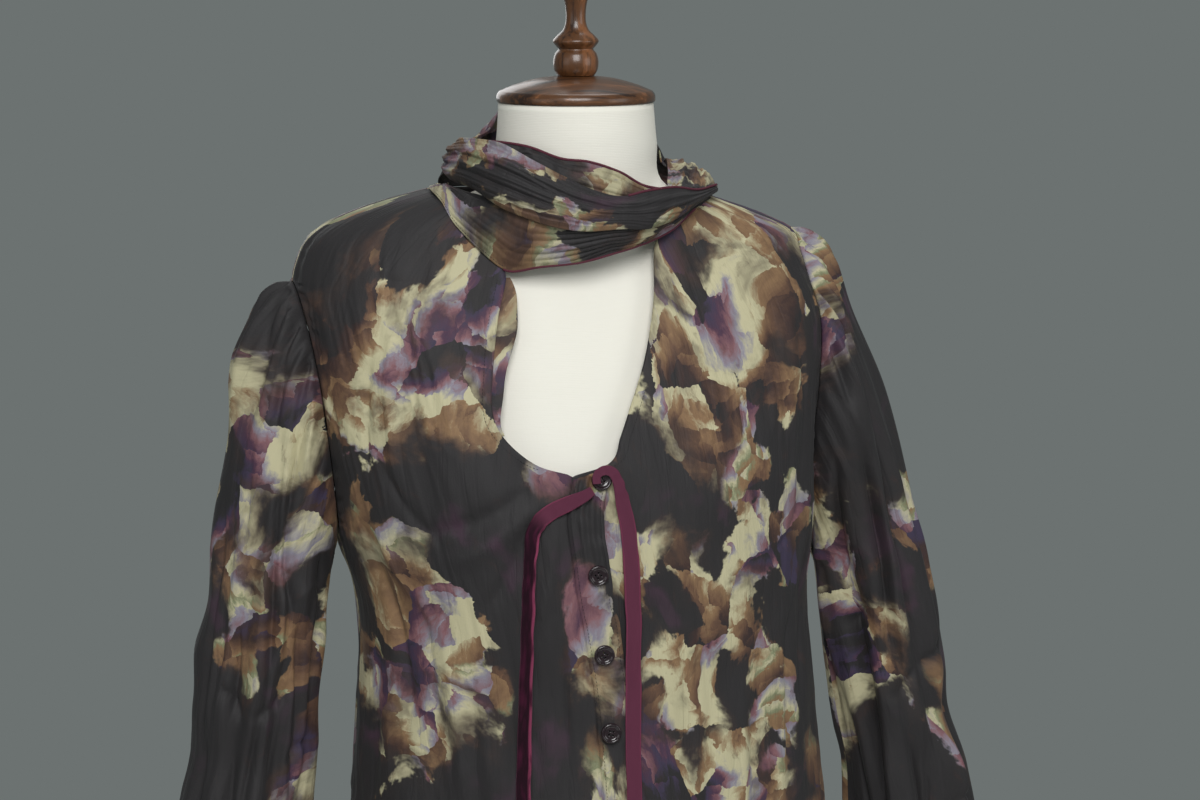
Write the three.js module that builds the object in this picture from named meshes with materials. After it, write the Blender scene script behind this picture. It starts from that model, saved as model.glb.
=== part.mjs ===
// A button-down blouse with full sleeves, a wound scarf collar and two ribbon ties, on a limbless dress form
// with a stand.
// Millimetres, +Z up. The front faces -Y, the wearer's left is +X and the wearer's right is -X.
// The origin is the centre of the base's underside, on the pole's axis.
import * as THREE from "three";

// Cloth and seams
const CLOTH = 1.2;
const SEAM_GAP = 0.3;
const SCARF_CLOTH = 1.4;
const RIBBON_CLOTH = 1.0;

// Heights of the blouse
const HEM_Z = 745;
const V_BOTTOM_Z = 1194;
const SHOULDER_TOP = { right: 1401, left: 1392 };

// Rows and columns of the cloth walls
const ARMHOLE_STEPS = 15;
const LOWER_ROWS = 10;
const SHOULDER_ROWS = 4;
const FRONT_COLUMNS = 10;
const BACK_COLUMNS = 17;
const SLEEVE_CAP_ROWS = 7;
const SLEEVE_DROP_ROWS = 13;

const RIGHT = -1;
const LEFT = 1;
const QUARTER = Math.PI / 2;

// The blouse's body, a row for each level: half widths to the wearer's right and left, depths from the centre
// to the front and the back, the centre's place, and the section's squareness (2 is an ellipse).
const BODY_SECTIONS = [
  { z: 745, right: 200, left: 200, front: 138, back: 124, cx: 11, cy: -8, square: 2.05 },
  { z: 840, right: 192, left: 192, front: 132, back: 118, cx: 10, cy: -9, square: 2.05 },
  { z: 940, right: 184, left: 184, front: 126, back: 110, cx: 8, cy: -9, square: 2.05 },
  { z: 1016, right: 177, left: 177, front: 123, back: 105, cx: 7, cy: -8, square: 2.1 },
  { z: 1090, right: 172, left: 174, front: 125, back: 104, cx: 4, cy: -4, square: 2.15 },
  { z: 1148, right: 182, left: 183, front: 129, back: 105, cx: 0, cy: 1, square: 2.25 },
  { z: 1200, right: 190, left: 186, front: 127, back: 104, cx: -2, cy: 5, square: 2.35 },
  { z: 1252, right: 197, left: 195, front: 118, back: 100, cx: -4, cy: 9, square: 2.4 },
  { z: 1300, right: 204, left: 200, front: 104, back: 92, cx: -5, cy: 13, square: 2.4 },
  { z: 1332, right: 205, left: 193, front: 92, back: 82, cx: -6, cy: 16, square: 2.35 },
  { z: 1350, right: 201, left: 187, front: 84, back: 74, cx: -6, cy: 17, square: 2.3 },
  { z: 1366, right: 192, left: 179, front: 76, back: 66, cx: -6, cy: 17, square: 2.25 },
  { z: 1380, right: 174, left: 146, front: 70, back: 58, cx: -3, cy: 15, square: 2.2 },
  { z: 1392, right: 145, left: 108, front: 67, back: 53, cx: 0, cy: 11, square: 2.1 },
  { z: 1401, right: 110, left: 86, front: 66, back: 50, cx: 0, cy: 8, square: 2.05 },
];

// Armholes, ovals in the side view: their top and bottom, and how far they reach to the front and the back.
const ARMHOLES = {
  [RIGHT]: { top: 1334, bottom: 1147, front: -26, back: 66 },
  [LEFT]: { top: 1366, bottom: 1153, front: -30, back: 66 },
};

// The front edges of the right and the left front, a row for each level from the neck to the foot of the
// opening. Part 0 to 1 is the neckline and 1 to 2 the opening's side.
const NECK_EDGES = [
  { part: 0, rightX: -104, rightZ: 1401, leftX: 101, leftZ: 1392 },
  { part: 0.5, rightX: -93, rightZ: 1369, leftX: 78, leftZ: 1384 },
  { part: 1, rightX: -68, rightZ: 1346, leftX: 48, leftZ: 1364 },
  { part: 1.25, rightX: -77, rightZ: 1313, leftX: 41, leftZ: 1325 },
  { part: 1.5, rightX: -84, rightZ: 1276, leftX: 29, leftZ: 1283 },
  { part: 1.7, rightX: -86, rightZ: 1247, leftX: 15, leftZ: 1250 },
  { part: 1.82, rightX: -78, rightZ: 1229, leftX: 6, leftZ: 1229 },
  { part: 1.92, rightX: -57, rightZ: 1211, leftX: -3, leftZ: 1211 },
  { part: 2, rightX: -39, rightZ: 1201, leftX: -33, leftZ: 1202 },
];
const LAP_EDGE = [
  { z: 745, x: 20 },
  { z: 860, x: 18 },
  { z: 961, x: 15 },
  { z: 1037, x: 9.5 },
  { z: 1082, x: 3 },
  { z: 1113, x: -3 },
  { z: 1140, x: -6.5 },
  { z: 1171, x: -10 },
  { z: 1192, x: -7 },
  { z: 1208, x: -2 },
];
const BAND_WIDTH = 26;
const UNDERLAP = 22;
const LAP_ROWS = 22;
const LAP_ACROSS = [0, 0.33, 0.67, 1];
const LAP_OFF = { seam: 1.9, edge: 2.6 };

// Soft folds in the body: where each lies (degrees from the centre front, the wearer's left positive), its
// reach in height, its depth (a groove is negative), its width in degrees and its slant on the way down.
const BODY_FOLDS = [
  { at: -78, top: 1150, foot: 700, depth: -7, width: 7, slant: 8 },
  { at: -58, top: 1120, foot: 700, depth: 6, width: 9, slant: 6 },
  { at: -40, top: 1060, foot: 700, depth: -6, width: 8, slant: 4 },
  { at: -24, top: 1000, foot: 700, depth: 5, width: 8, slant: 0 },
  { at: 30, top: 1010, foot: 700, depth: -6, width: 8, slant: 3 },
  { at: 48, top: 1080, foot: 700, depth: 6, width: 9, slant: -4 },
  { at: 66, top: 1130, foot: 700, depth: -8, width: 8, slant: -5 },
  { at: 84, top: 1130, foot: 700, depth: 6, width: 8, slant: 0 },
  { at: 108, top: 1100, foot: 700, depth: -8, width: 9, slant: 4 },
  { at: 130, top: 1050, foot: 700, depth: 7, width: 9, slant: 0 },
  { at: 152, top: 1060, foot: 700, depth: -8, width: 9, slant: 0 },
  { at: 178, top: 1040, foot: 700, depth: 7, width: 10, slant: 0 },
  { at: 204, top: 1060, foot: 700, depth: -8, width: 9, slant: 0 },
  { at: 228, top: 1060, foot: 700, depth: 7, width: 9, slant: -3 },
  { at: 252, top: 1100, foot: 700, depth: -7, width: 9, slant: -5 },
];

// Sleeves below the cap, a row for each level: the tube's centre across, half width, half depth and depth
// of its centre.
const SLEEVE_SECTIONS = {
  [RIGHT]: [
    { z: 745, across: 277, half: 56, deep: 50, cy: 6 },
    { z: 850, across: 263, half: 54, deep: 49, cy: 7 },
    { z: 945, across: 251, half: 51, deep: 48, cy: 8 },
    { z: 1030, across: 241, half: 48.5, deep: 48, cy: 9 },
    { z: 1100, across: 234, half: 46, deep: 48, cy: 11 },
  ],
  [LEFT]: [
    { z: 745, across: 297, half: 55, deep: 50, cy: 6 },
    { z: 850, across: 282, half: 52, deep: 49, cy: 7 },
    { z: 945, across: 267, half: 48.5, deep: 48, cy: 8 },
    { z: 1030, across: 252, half: 46, deep: 48, cy: 9 },
    { z: 1100, across: 240, half: 44, deep: 48, cy: 11 },
  ],
};

// How each sleeve leaves its armhole: outward reach and lift at the top, and the slope of the tube below.
const SLEEVE_HEADS = {
  [RIGHT]: { reach: 0.49, lift: 0.08, flare: 0.12 },
  [LEFT]: { reach: 0.44, lift: 0.06, flare: 0.16 },
};

// Long folds in the sleeves: where round the tube (degrees from the outer side, to the front positive), from
// and to along the sleeve (0 at the armhole, 1 at the hem), depth, width in degrees and slant.
const SLEEVE_FOLDS = {
  [RIGHT]: [
    { at: 32, from: 0.02, to: 0.5, depth: -6, width: 11, slant: 10 },
    { at: 62, from: 0.06, to: 1.1, depth: -9, width: 13, slant: -6 },
    { at: 98, from: 0.1, to: 1.1, depth: -10, width: 13, slant: 12 },
    { at: 8, from: 0.02, to: 0.3, depth: 4, width: 11, slant: 0 },
    { at: 20, from: 0.35, to: 1.1, depth: -8, width: 13, slant: 8 },
    { at: 140, from: 0.25, to: 1.1, depth: -9, width: 14, slant: 0 },
    { at: 180, from: 0.35, to: 0.9, depth: -6, width: 14, slant: 6 },
    { at: 222, from: 0.25, to: 1.1, depth: -9, width: 14, slant: 0 },
    { at: 262, from: 0.1, to: 1.1, depth: -8, width: 13, slant: -8 },
    { at: 305, from: 0.05, to: 1.1, depth: -9, width: 13, slant: 8 },
    { at: 340, from: 0.02, to: 0.45, depth: -5, width: 11, slant: 0 },
  ],
  [LEFT]: [
    { at: 26, from: 0.02, to: 0.45, depth: -5, width: 11, slant: 8 },
    { at: 58, from: 0.05, to: 1.1, depth: -9, width: 13, slant: 4 },
    { at: 92, from: 0.12, to: 1.1, depth: -8, width: 13, slant: -10 },
    { at: 14, from: 0.4, to: 1.1, depth: -7, width: 13, slant: 10 },
    { at: 130, from: 0.2, to: 1.1, depth: -9, width: 14, slant: 4 },
    { at: 172, from: 0.4, to: 1.1, depth: -6, width: 14, slant: -5 },
    { at: 215, from: 0.25, to: 1.1, depth: -9, width: 14, slant: 0 },
    { at: 255, from: 0.1, to: 1.1, depth: -8, width: 13, slant: 8 },
    { at: 300, from: 0.05, to: 1.1, depth: -9, width: 13, slant: -6 },
    { at: 338, from: 0.02, to: 0.4, depth: -5, width: 11, slant: 0 },
  ],
};

// The dress form's canvas body, a row for each level, and its neck, which leans a little forward.
const FORM_SECTIONS = [
  { z: 700, right: 158, left: 158, front: 104, back: 104, cx: 0, cy: 0, square: 2.1 },
  { z: 770, right: 164, left: 164, front: 106, back: 106, cx: 0, cy: -2, square: 2.1 },
  { z: 840, right: 160, left: 160, front: 102, back: 100, cx: 0, cy: -2, square: 2.1 },
  { z: 910, right: 143, left: 143, front: 94, back: 88, cx: 0, cy: -1, square: 2.1 },
  { z: 985, right: 122, left: 122, front: 88, back: 78, cx: 0, cy: 2, square: 2.1 },
  { z: 1060, right: 130, left: 130, front: 98, back: 82, cx: 0, cy: 3, square: 2.15 },
  { z: 1120, right: 144, left: 144, front: 112, back: 88, cx: 0, cy: 3, square: 2.2 },
  { z: 1165, right: 148, left: 148, front: 118, back: 90, cx: 0, cy: 3, square: 2.25 },
  { z: 1210, right: 150, left: 150, front: 113, back: 91, cx: 0, cy: 5, square: 2.3 },
  { z: 1265, right: 156, left: 156, front: 101, back: 86, cx: -1, cy: 9, square: 2.35 },
  { z: 1310, right: 166, left: 166, front: 87, back: 77, cx: -2, cy: 13, square: 2.35 },
  { z: 1340, right: 177, left: 177, front: 75, back: 66, cx: -3, cy: 15, square: 2.3 },
  { z: 1354, right: 177, left: 177, front: 68, back: 60, cx: -3, cy: 15, square: 2.2 },
  { z: 1366, right: 171, left: 171, front: 63, back: 55, cx: -3, cy: 13, square: 2.15 },
  { z: 1380, right: 138, left: 138, front: 57, back: 48, cx: -1, cy: 8, square: 2.1 },
  { z: 1391, right: 101, left: 101, front: 55, back: 46, cx: 1, cy: 3, square: 2.0 },
  { z: 1404, right: 66, left: 66, front: 58, back: 53, cx: 0, cy: -7, square: 2.0 },
  { z: 1436, right: 60, left: 60, front: 59, back: 57, cx: -1, cy: -12, square: 2.0 },
  { z: 1465, right: 57.5, left: 57.5, front: 57.5, back: 57.5, cx: -2, cy: -15, square: 2.0 },
];
const FORM_COLUMNS = 24;
const NECK_CENTRE = { x: -2, y: -15 };

// The turned wood on the neck, and the stand: radius and height pairs from the bottom up.
const CAP_PROFILE = [
  { r: 57.5, z: 0 },
  { r: 59, z: 1.5 },
  { r: 59, z: 5.5 },
  { r: 57, z: 8 },
  { r: 46, z: 12.5 },
  { r: 30, z: 17 },
  { r: 15, z: 19 },
];
const CAP_Z = 1465.3;
const FINIAL_PROFILE = [
  { r: 13.5, z: 0 },
  { r: 16, z: 4 },
  { r: 16.8, z: 10 },
  { r: 15.5, z: 16 },
  { r: 13, z: 19.5 },
  { r: 14.5, z: 21.5 },
  { r: 17, z: 25.5 },
  { r: 14, z: 29.5 },
  { r: 9.5, z: 34 },
  { r: 7.4, z: 41 },
  { r: 8, z: 52 },
  { r: 10.8, z: 63 },
  { r: 12.4, z: 72 },
  { r: 10.8, z: 81 },
  { r: 6, z: 87 },
];
const FINIAL_Z = 1484.6;
const POLE_RADIUS = 16;
const BASE_PROFILE = [
  { r: 200, z: 0 },
  { r: 205, z: 6 },
  { r: 205, z: 16 },
  { r: 198, z: 24 },
  { r: 120, z: 33 },
  { r: 40, z: 44 },
  { r: 30, z: 58 },
];
const FORM_BOTTOM_Z = 700;
const TURNED_SIDES = 24;

// Buttons down the lap, the first inside the ribbon's loop at the foot of the opening
const BUTTONS = [
  { z: 1199, x: -11 },
  { z: 1131, x: -15 },
  { z: 1072, x: -10.5 },
  { z: 1014, x: -6 },
  { z: 957, x: -3.5 },
  { z: 900, x: -1 },
  { z: 843, x: 1 },
];
const BUTTON_OFF = 2.9;
const BUTTON_PROFILE = [
  { r: 6.9, z: 0 },
  { r: 7.6, z: 1.2 },
  { r: 7.4, z: 2.6 },
  { r: 6.2, z: 3.4 },
  { r: 4.6, z: 2.6 },
];

// Ribbon ties, a row for each station down the ribbon: its middle across and in height, how far its nearest
// edge stands off the cloth, and the turn of its face in degrees (0 lies flat on the front).
const RIBBON_ROUTES = {
  ribbon_right: [
    { x: -18.6, z: 1192, off: 6.9, turn: 0, half: 3.2 },
    { x: -25, z: 1188, off: 5.2, turn: 0, half: 4.2 },
    { x: -35.5, z: 1183.4, off: 2.9, turn: 0, half: 5.4 },
    { x: -46.5, z: 1178.4, off: 1.6, turn: 0, half: 5.8 },
    { x: -56, z: 1171, off: 0.8, turn: 8, half: 5.6 },
    { x: -61.5, z: 1161, off: 0.6, turn: 26, half: 5.4 },
    { x: -63.5, z: 1143, off: 0.6, turn: 40, half: 5.6 },
    { x: -64.5, z: 1109, off: 0.6, turn: 44, half: 6 },
    { x: -66, z: 1060, off: 0.6, turn: 40, half: 6 },
    { x: -68, z: 1006, off: 0.6, turn: 36, half: 6 },
    { x: -69, z: 950, off: 0.6, turn: 28, half: 6 },
    { x: -69.5, z: 900, off: 0.6, turn: 20, half: 6 },
    { x: -69.5, z: 856, off: 0.6, turn: 14, half: 6 },
  ],
  ribbon_left: [
    { x: -15.4, z: 1196.4, off: 6.9, turn: 0, half: 3 },
    { x: -15.2, z: 1201.6, off: 6.9, turn: 0, half: 3 },
    { x: -12.2, z: 1204.8, off: 6.9, turn: 0, half: 3.2 },
    { x: -7, z: 1205.6, off: 6.9, turn: 0, half: 3.5 },
    { x: -2, z: 1202.6, off: 6.9, turn: 0, half: 3.8 },
    { x: 1.2, z: 1194.6, off: 6.2, turn: 0, half: 4.3 },
    { x: 3.8, z: 1183, off: 3.6, turn: 0, half: 5 },
    { x: 8, z: 1162, off: 1.4, turn: 0, half: 5.6 },
    { x: 10, z: 1138, off: 0.8, turn: 4, half: 5.8 },
    { x: 11.4, z: 1104, off: 1.6, turn: 0, half: 5.8 },
    { x: 11, z: 1068, off: 3.1, turn: -4, half: 5.8 },
    { x: 10.6, z: 1030, off: 3.1, turn: 4, half: 5.8 },
    { x: 10.8, z: 990, off: 3.1, turn: 6, half: 5.6 },
    { x: 11.4, z: 940, off: 3.1, turn: 10, half: 5.6 },
    { x: 12.9, z: 890, off: 3.1, turn: 4, half: 5.6 },
    { x: 14.5, z: 842, off: 3.1, turn: 0, half: 5.6 },
  ],
};
const RIBBON_ACROSS = [-1, 0, 1];
const RIBBON_STEPS = 26;

// The facing that rolls into view along the right side of the opening: how far it reaches past the edge, from
// the collar (share 0) to the opening's foot (share 1).
const FACING_REACH = [
  { share: 0, reach: 3 },
  { share: 0.15, reach: 11 },
  { share: 0.34, reach: 15 },
  { share: 0.6, reach: 9.5 },
  { share: 0.78, reach: 8 },
  { share: 0.95, reach: 3 },
  { share: 1, reach: 2 },
];
const FACING_UNDER = 5;
const FACING_SINK = 1.9;
const FACING_FROM = 1.04;
const FACING_TO = 1.8;
const FACING_ROWS = 12;
const FACING_COLUMNS = 3;

// The scarf collar, one table for each stretch. Each row is a station along the stretch with the place of its
// lower edge and its upper edge; belly is how far the cloth between them swells away from the neck.
const SCARF_LOWER = [
  { lowX: -103, lowY: 27, lowZ: 1402, highX: -91, highY: 24, highZ: 1404, belly: 0.5 },
  { lowX: -112, lowY: -8, lowZ: 1403, highX: -97, highY: -1, highZ: 1405, belly: 1.5 },
  { lowX: -108.5, lowY: -33.6, lowZ: 1395.4, highX: -92, highY: -25, highZ: 1403, belly: 3 },
  { lowX: -101.4, lowY: -47.2, lowZ: 1379.7, highX: -84, highY: -46, highZ: 1401, belly: 4 },
  { lowX: -82.2, lowY: -60.8, lowZ: 1357.9, highX: -70, highY: -68, highZ: 1398, belly: 4 },
  { lowX: -66, lowY: -68, lowZ: 1346.5, highX: -58, highY: -84, highZ: 1392, belly: 4 },
  { lowX: -45, lowY: -79, lowZ: 1350, highX: -42, highY: -92.5, highZ: 1386, belly: 3.5 },
  { lowX: -16, lowY: -84, lowZ: 1353, highX: -18, highY: -96.8, highZ: 1382.5, belly: 3 },
  { lowX: 10, lowY: -83, lowZ: 1359, highX: 6, highY: -97, highZ: 1382.5, belly: 3 },
  { lowX: 35, lowY: -76, lowZ: 1365, highX: 30, highY: -90.5, highZ: 1382.5, belly: 2 },
  { lowX: 59, lowY: -63, lowZ: 1373, highX: 54, highY: -75, highZ: 1386, belly: 1.5 },
  { lowX: 80, lowY: -48, lowZ: 1386, highX: 76, highY: -50, highZ: 1392, belly: 1 },
  { lowX: 98, lowY: -29, lowZ: 1392.5, highX: 96, highY: -26, highZ: 1396, belly: 0.5 },
];
const SCARF_INNER = [
  { lowX: -77, lowY: -41, lowZ: 1425, highX: -80.4, highY: -39.8, highZ: 1439.5, belly: 0.5 },
  { lowX: -66, lowY: -59, lowZ: 1421, highX: -66, highY: -56, highZ: 1439, belly: 3 },
  { lowX: -50, lowY: -71, lowZ: 1415, highX: -49, highY: -67, highZ: 1436, belly: 3 },
  { lowX: -29, lowY: -76, lowZ: 1405, highX: -28, highY: -73, highZ: 1428, belly: 3 },
  { lowX: -7, lowY: -77, lowZ: 1396, highX: -6, highY: -74, highZ: 1425, belly: 3 },
  { lowX: 15, lowY: -75, lowZ: 1391, highX: 17, highY: -72, highZ: 1417, belly: 2.5 },
  { lowX: 34, lowY: -71, lowZ: 1392, highX: 35, highY: -69, highZ: 1407, belly: 1.5 },
  { lowX: 54, lowY: -67.5, lowZ: 1394, highX: 54, highY: -69.5, highZ: 1403, belly: 0.5 },
];
const SCARF_UPPER = [
  { lowX: -94, lowY: 22, lowZ: 1412, highX: -76, highY: 19, highZ: 1436, belly: 5 },
  { lowX: -97, lowY: -14, lowZ: 1409, highX: -90, highY: -11, highZ: 1440, belly: 7.5 },
  { lowX: -88, lowY: -50, lowZ: 1405, highX: -82, highY: -40, highZ: 1441, belly: 8.5 },
  { lowX: -74, lowY: -76, lowZ: 1394, highX: -69, highY: -62, highZ: 1439, belly: 10 },
  { lowX: -56, lowY: -90, lowZ: 1386, highX: -50, highY: -76, highZ: 1428, belly: 9 },
  { lowX: -35, lowY: -98, lowZ: 1379.5, highX: -30, highY: -84, highZ: 1417, belly: 8 },
  { lowX: -13, lowY: -100, lowZ: 1377, highX: -7, highY: -87, highZ: 1406, belly: 7 },
  { lowX: 10, lowY: -99, lowZ: 1378, highX: 14, highY: -87, highZ: 1401, belly: 6 },
  { lowX: 33, lowY: -92, lowZ: 1377, highX: 35, highY: -82, highZ: 1404, belly: 5 },
  { lowX: 58, lowY: -76, lowZ: 1382, highX: 59, highY: -69, highZ: 1405, belly: 4 },
  { lowX: 82, lowY: -54, lowZ: 1391, highX: 83, highY: -48, highZ: 1401, belly: 2.5 },
  { lowX: 104, lowY: -27, lowZ: 1397, highX: 105, highY: -22, highZ: 1402, belly: 1 },
];
const SCARF_BACK = [
  { lowX: 97.8, lowY: 31.2, lowZ: 1393.5, highX: 76, highY: 27, highZ: 1416, belly: 3 },
  { lowX: 82, lowY: 43.2, lowZ: 1394.3, highX: 72, highY: 37, highZ: 1431, belly: 4 },
  { lowX: 48.5, lowY: 56, lowZ: 1395.5, highX: 38, highY: 54, highZ: 1440, belly: 7 },
  { lowX: 0.2, lowY: 60.9, lowZ: 1396.9, highX: -4, highY: 59, highZ: 1450, belly: 8 },
  { lowX: -58.9, lowY: 54.2, lowZ: 1398.3, highX: -36, highY: 54, highZ: 1459, belly: 6 },
  { lowX: -91.1, lowY: 41.6, lowZ: 1400, highX: -47, highY: 44, highZ: 1457, belly: 2.5 },
  { lowX: -97, lowY: 32, lowZ: 1406, highX: -58, highY: 33, highZ: 1443, belly: 2.5 },
  { lowX: -94, lowY: 22.5, lowZ: 1412, highX: -76, highY: 19.5, highZ: 1436, belly: 5 },
];
const SCARF_SHOULDER = [
  { lowX: 107, lowY: -17, lowZ: 1400, highX: 58, highY: -62, highZ: 1401, belly: 1 },
  { lowX: 111, lowY: -5, lowZ: 1399, highX: 63, highY: -36, highZ: 1406, belly: 5 },
  { lowX: 111, lowY: 8, lowZ: 1399, highX: 71, highY: -9, highZ: 1413, belly: 9 },
  { lowX: 107, lowY: 20, lowZ: 1397, highX: 75, highY: 10, highZ: 1420, belly: 8 },
  { lowX: 98.2, lowY: 30.4, lowZ: 1393.7, highX: 76.3, highY: 26.2, highZ: 1416, belly: 3 },
];
// How the cloth runs between a stretch's edges: share of the width, and share of the belly.
const ROLLED = [
  { across: 0, swell: 0 },
  { across: 0.1, swell: 0.6 },
  { across: 0.24, swell: 1.0 },
  { across: 0.34, swell: 0.8 },
  { across: 0.46, swell: 1.15 },
  { across: 0.58, swell: 0.75 },
  { across: 0.7, swell: 0.95 },
  { across: 0.84, swell: 0.35 },
  { across: 1, swell: 0 },
];
const DRAPED = [
  { across: 0, swell: 0 },
  { across: 0.15, swell: 0.55 },
  { across: 0.3, swell: 0.75 },
  { across: 0.45, swell: 1.1 },
  { across: 0.6, swell: 0.8 },
  { across: 0.8, swell: 0.6 },
  { across: 1, swell: 0 },
];
const SCARF_STEPS = 18;
const SHOULDER_STEPS = 9;

const CANVAS = { color: "#e6e2d6", roughness: 0.95, metalness: 0 };
const PRINTED_CLOTH = { color: "#4a4340", roughness: 0.85, metalness: 0 };
const SCARF_PRINT = { color: "#3d3336", roughness: 0.85, metalness: 0 };
const VELVET = { color: "#5b2038", roughness: 0.7, metalness: 0 };
const BUTTON_RESIN = { color: "#1b1416", roughness: 0.2, metalness: 0 };
const WALNUT = { color: "#5c3420", roughness: 0.35, metalness: 0 };

const mix = (a, b, share) => a + (b - a) * share;
const radians = (degrees) => (degrees * Math.PI) / 180;

// A smooth curve through one column of a table, read at a value of its key column.
function along(table, key, value, column) {
  const last = table.length - 1;
  const climbs = table[last][key] > table[0][key];
  const spot = (i) => (climbs ? table[i][key] : -table[i][key]);
  const t = climbs ? value : -value;
  if (t <= spot(0)) return table[0][column];
  if (t >= spot(last)) return table[last][column];
  let i = 0;
  while (t > spot(i + 1)) i += 1;
  const slope = (k) => {
    const before = Math.max(k - 1, 0);
    const after = Math.min(k + 1, last);
    return (table[after][column] - table[before][column]) / (spot(after) - spot(before));
  };
  const span = spot(i + 1) - spot(i);
  const s = (t - spot(i)) / span;
  const rise = s * s * (3 - 2 * s);
  return (
    mix(table[i][column], table[i + 1][column], rise) +
    span * (s * (1 - s) * (1 - s) * slope(i) - s * s * (1 - s) * slope(i + 1))
  );
}

// A smooth curve through a column of evenly spaced stations, read at a share of the table's length.
function atShare(table, share, column) {
  const numbered = table.map((row, i) => ({ station: i, value: row[column] }));
  return along(numbered, "station", share * (table.length - 1), "value");
}

const bump = (value, middle, width) => Math.exp(-(((value - middle) / width) ** 2));
const fadeIn = (value, start, full) => THREE.MathUtils.smoothstep(value, start, full);

// Distance round a circle in degrees, from -180 to 180.
const turnBetween = (a, b) => ((((a - b + 180) % 360) + 360) % 360) - 180;

// A point of a section: angle 0 is the front, a quarter turn is the wearer's left.
function sectionPoint(table, z, angle, out = 0) {
  const s = Math.sin(angle);
  const c = Math.cos(angle);
  const power = 2 / along(table, "z", z, "square");
  const half = along(table, "z", z, s < 0 ? "right" : "left") + out;
  const depth = along(table, "z", z, c > 0 ? "front" : "back") + out;
  return new THREE.Vector3(
    along(table, "z", z, "cx") + half * Math.sign(s) * Math.abs(s) ** power,
    along(table, "z", z, "cy") - depth * Math.sign(c) * Math.abs(c) ** power,
    z,
  );
}

// How far the blouse's folds lift it at a place.
function bodyFold(z, angle) {
  const degrees = THREE.MathUtils.radToDeg(angle);
  return BODY_FOLDS.reduce((sum, fold) => {
    const down = fadeIn(fold.top - z, 0, fold.top - fold.foot);
    const middle = fold.at + fold.slant * down;
    return sum + fold.depth * down * Math.exp(-((turnBetween(degrees, middle) / fold.width) ** 2));
  }, 0);
}

const bodyPoint = (z, angle, out = 0) => sectionPoint(BODY_SECTIONS, z, angle, out + bodyFold(z, angle));

// The direction away from the cloth, from the surface a small step to each side.
function bodyNormal(z, angle) {
  const turn = 0.02;
  const climb = 2;
  const across = bodyPoint(z, angle + turn).sub(bodyPoint(z, angle - turn));
  const up = bodyPoint(Math.min(z + climb, SHOULDER_TOP.right), angle).sub(bodyPoint(z - climb, angle));
  return across.cross(up).normalize();
}

// The angle of the section's point at a place across, on the front.
function frontAngle(z, x) {
  const from = x - along(BODY_SECTIONS, "z", z, "cx");
  const half = along(BODY_SECTIONS, "z", z, from < 0 ? "right" : "left");
  const share = Math.min(Math.abs(from) / half, 1) ** (along(BODY_SECTIONS, "z", z, "square") / 2);
  return Math.sign(from) * Math.asin(share);
}

// A point of the blouse's front at a place across and in height, moved out from the cloth.
function onFront(x, z, out = 0) {
  const angle = frontAngle(z, x);
  return bodyPoint(z, angle).addScaledVector(bodyNormal(z, angle), out);
}

// Points of an armhole, from its top down its front or its back: height, and angle of the section there.
function armholeSpot(side, step, face) {
  const hole = ARMHOLES[side];
  const turn = (Math.PI * step) / ARMHOLE_STEPS;
  const z = mix(hole.bottom, hole.top, (1 + Math.cos(turn)) / 2);
  const middle = along(BODY_SECTIONS, "z", z, "cy");
  const reach = face === "front" ? middle - hole.front : hole.back - middle;
  const depth = along(BODY_SECTIONS, "z", z, face);
  const square = along(BODY_SECTIONS, "z", z, "square");
  const share = ((Math.max(reach, 0) * Math.sin(turn)) / depth) ** (square / 2);
  const lean = Math.acos(Math.min(share, 1));
  return { z, angle: side * (face === "front" ? lean : Math.PI - lean) };
}

// A body of triangles from rows of points and the directions away from the cloth, given its thickness.
function wall(rows, away, thickness, wraps = false) {
  const columns = rows[0].length;
  const positions = [];
  const put = (depth) =>
    rows.forEach((row, i) =>
      row.forEach((p, j) => positions.push(...p.clone().addScaledVector(away[i][j], -depth))),
    );
  put(0);
  put(thickness);
  const inner = rows.length * columns;
  const spot = (i, j) => i * columns + (j % columns);
  const index = [];
  const quad = (a, b, c, d) => index.push(a, b, c, a, c, d);
  const spans = wraps ? columns : columns - 1;
  for (let i = 0; i < rows.length - 1; i += 1)
    for (let j = 0; j < spans; j += 1) {
      const [a, b, c, d] = [spot(i, j), spot(i + 1, j), spot(i + 1, j + 1), spot(i, j + 1)];
      quad(a, b, c, d);
      quad(inner + a, inner + d, inner + c, inner + b);
    }
  const foot = rows.length - 1;
  for (let j = 0; j < spans; j += 1) {
    quad(spot(0, j + 1), inner + spot(0, j + 1), inner + spot(0, j), spot(0, j));
    quad(spot(foot, j), inner + spot(foot, j), inner + spot(foot, j + 1), spot(foot, j + 1));
  }
  if (!wraps)
    for (let i = 0; i < foot; i += 1) {
      quad(spot(i, 0), inner + spot(i, 0), inner + spot(i + 1, 0), spot(i + 1, 0));
      const [upper, under] = [spot(i, columns - 1), spot(i + 1, columns - 1)];
      quad(under, inner + under, inner + upper, upper);
    }
  return new THREE.BufferGeometry()
    .setAttribute("position", new THREE.Float32BufferAttribute(positions, 3))
    .setIndex(index);
}

// Directions away from a grid of points whose rows run down and whose columns run to the left of the wearer.
function gridNormals(rows, wraps = false) {
  return rows.map((row, i) =>
    row.map((_, j) => {
      const count = row.length;
      const before = wraps ? (j + count - 1) % count : Math.max(j - 1, 0);
      const after = wraps ? (j + 1) % count : Math.min(j + 1, count - 1);
      const across = row[after].clone().sub(row[before]);
      const up = rows[Math.max(i - 1, 0)][j].clone().sub(rows[Math.min(i + 1, rows.length - 1)][j]);
      return across.cross(up).normalize();
    }),
  );
}

function mesh(name, geometry, finish) {
  geometry.computeVertexNormals();
  const made = new THREE.Mesh(geometry, new THREE.MeshStandardMaterial(finish));
  made.name = name;
  return made;
}

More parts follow.
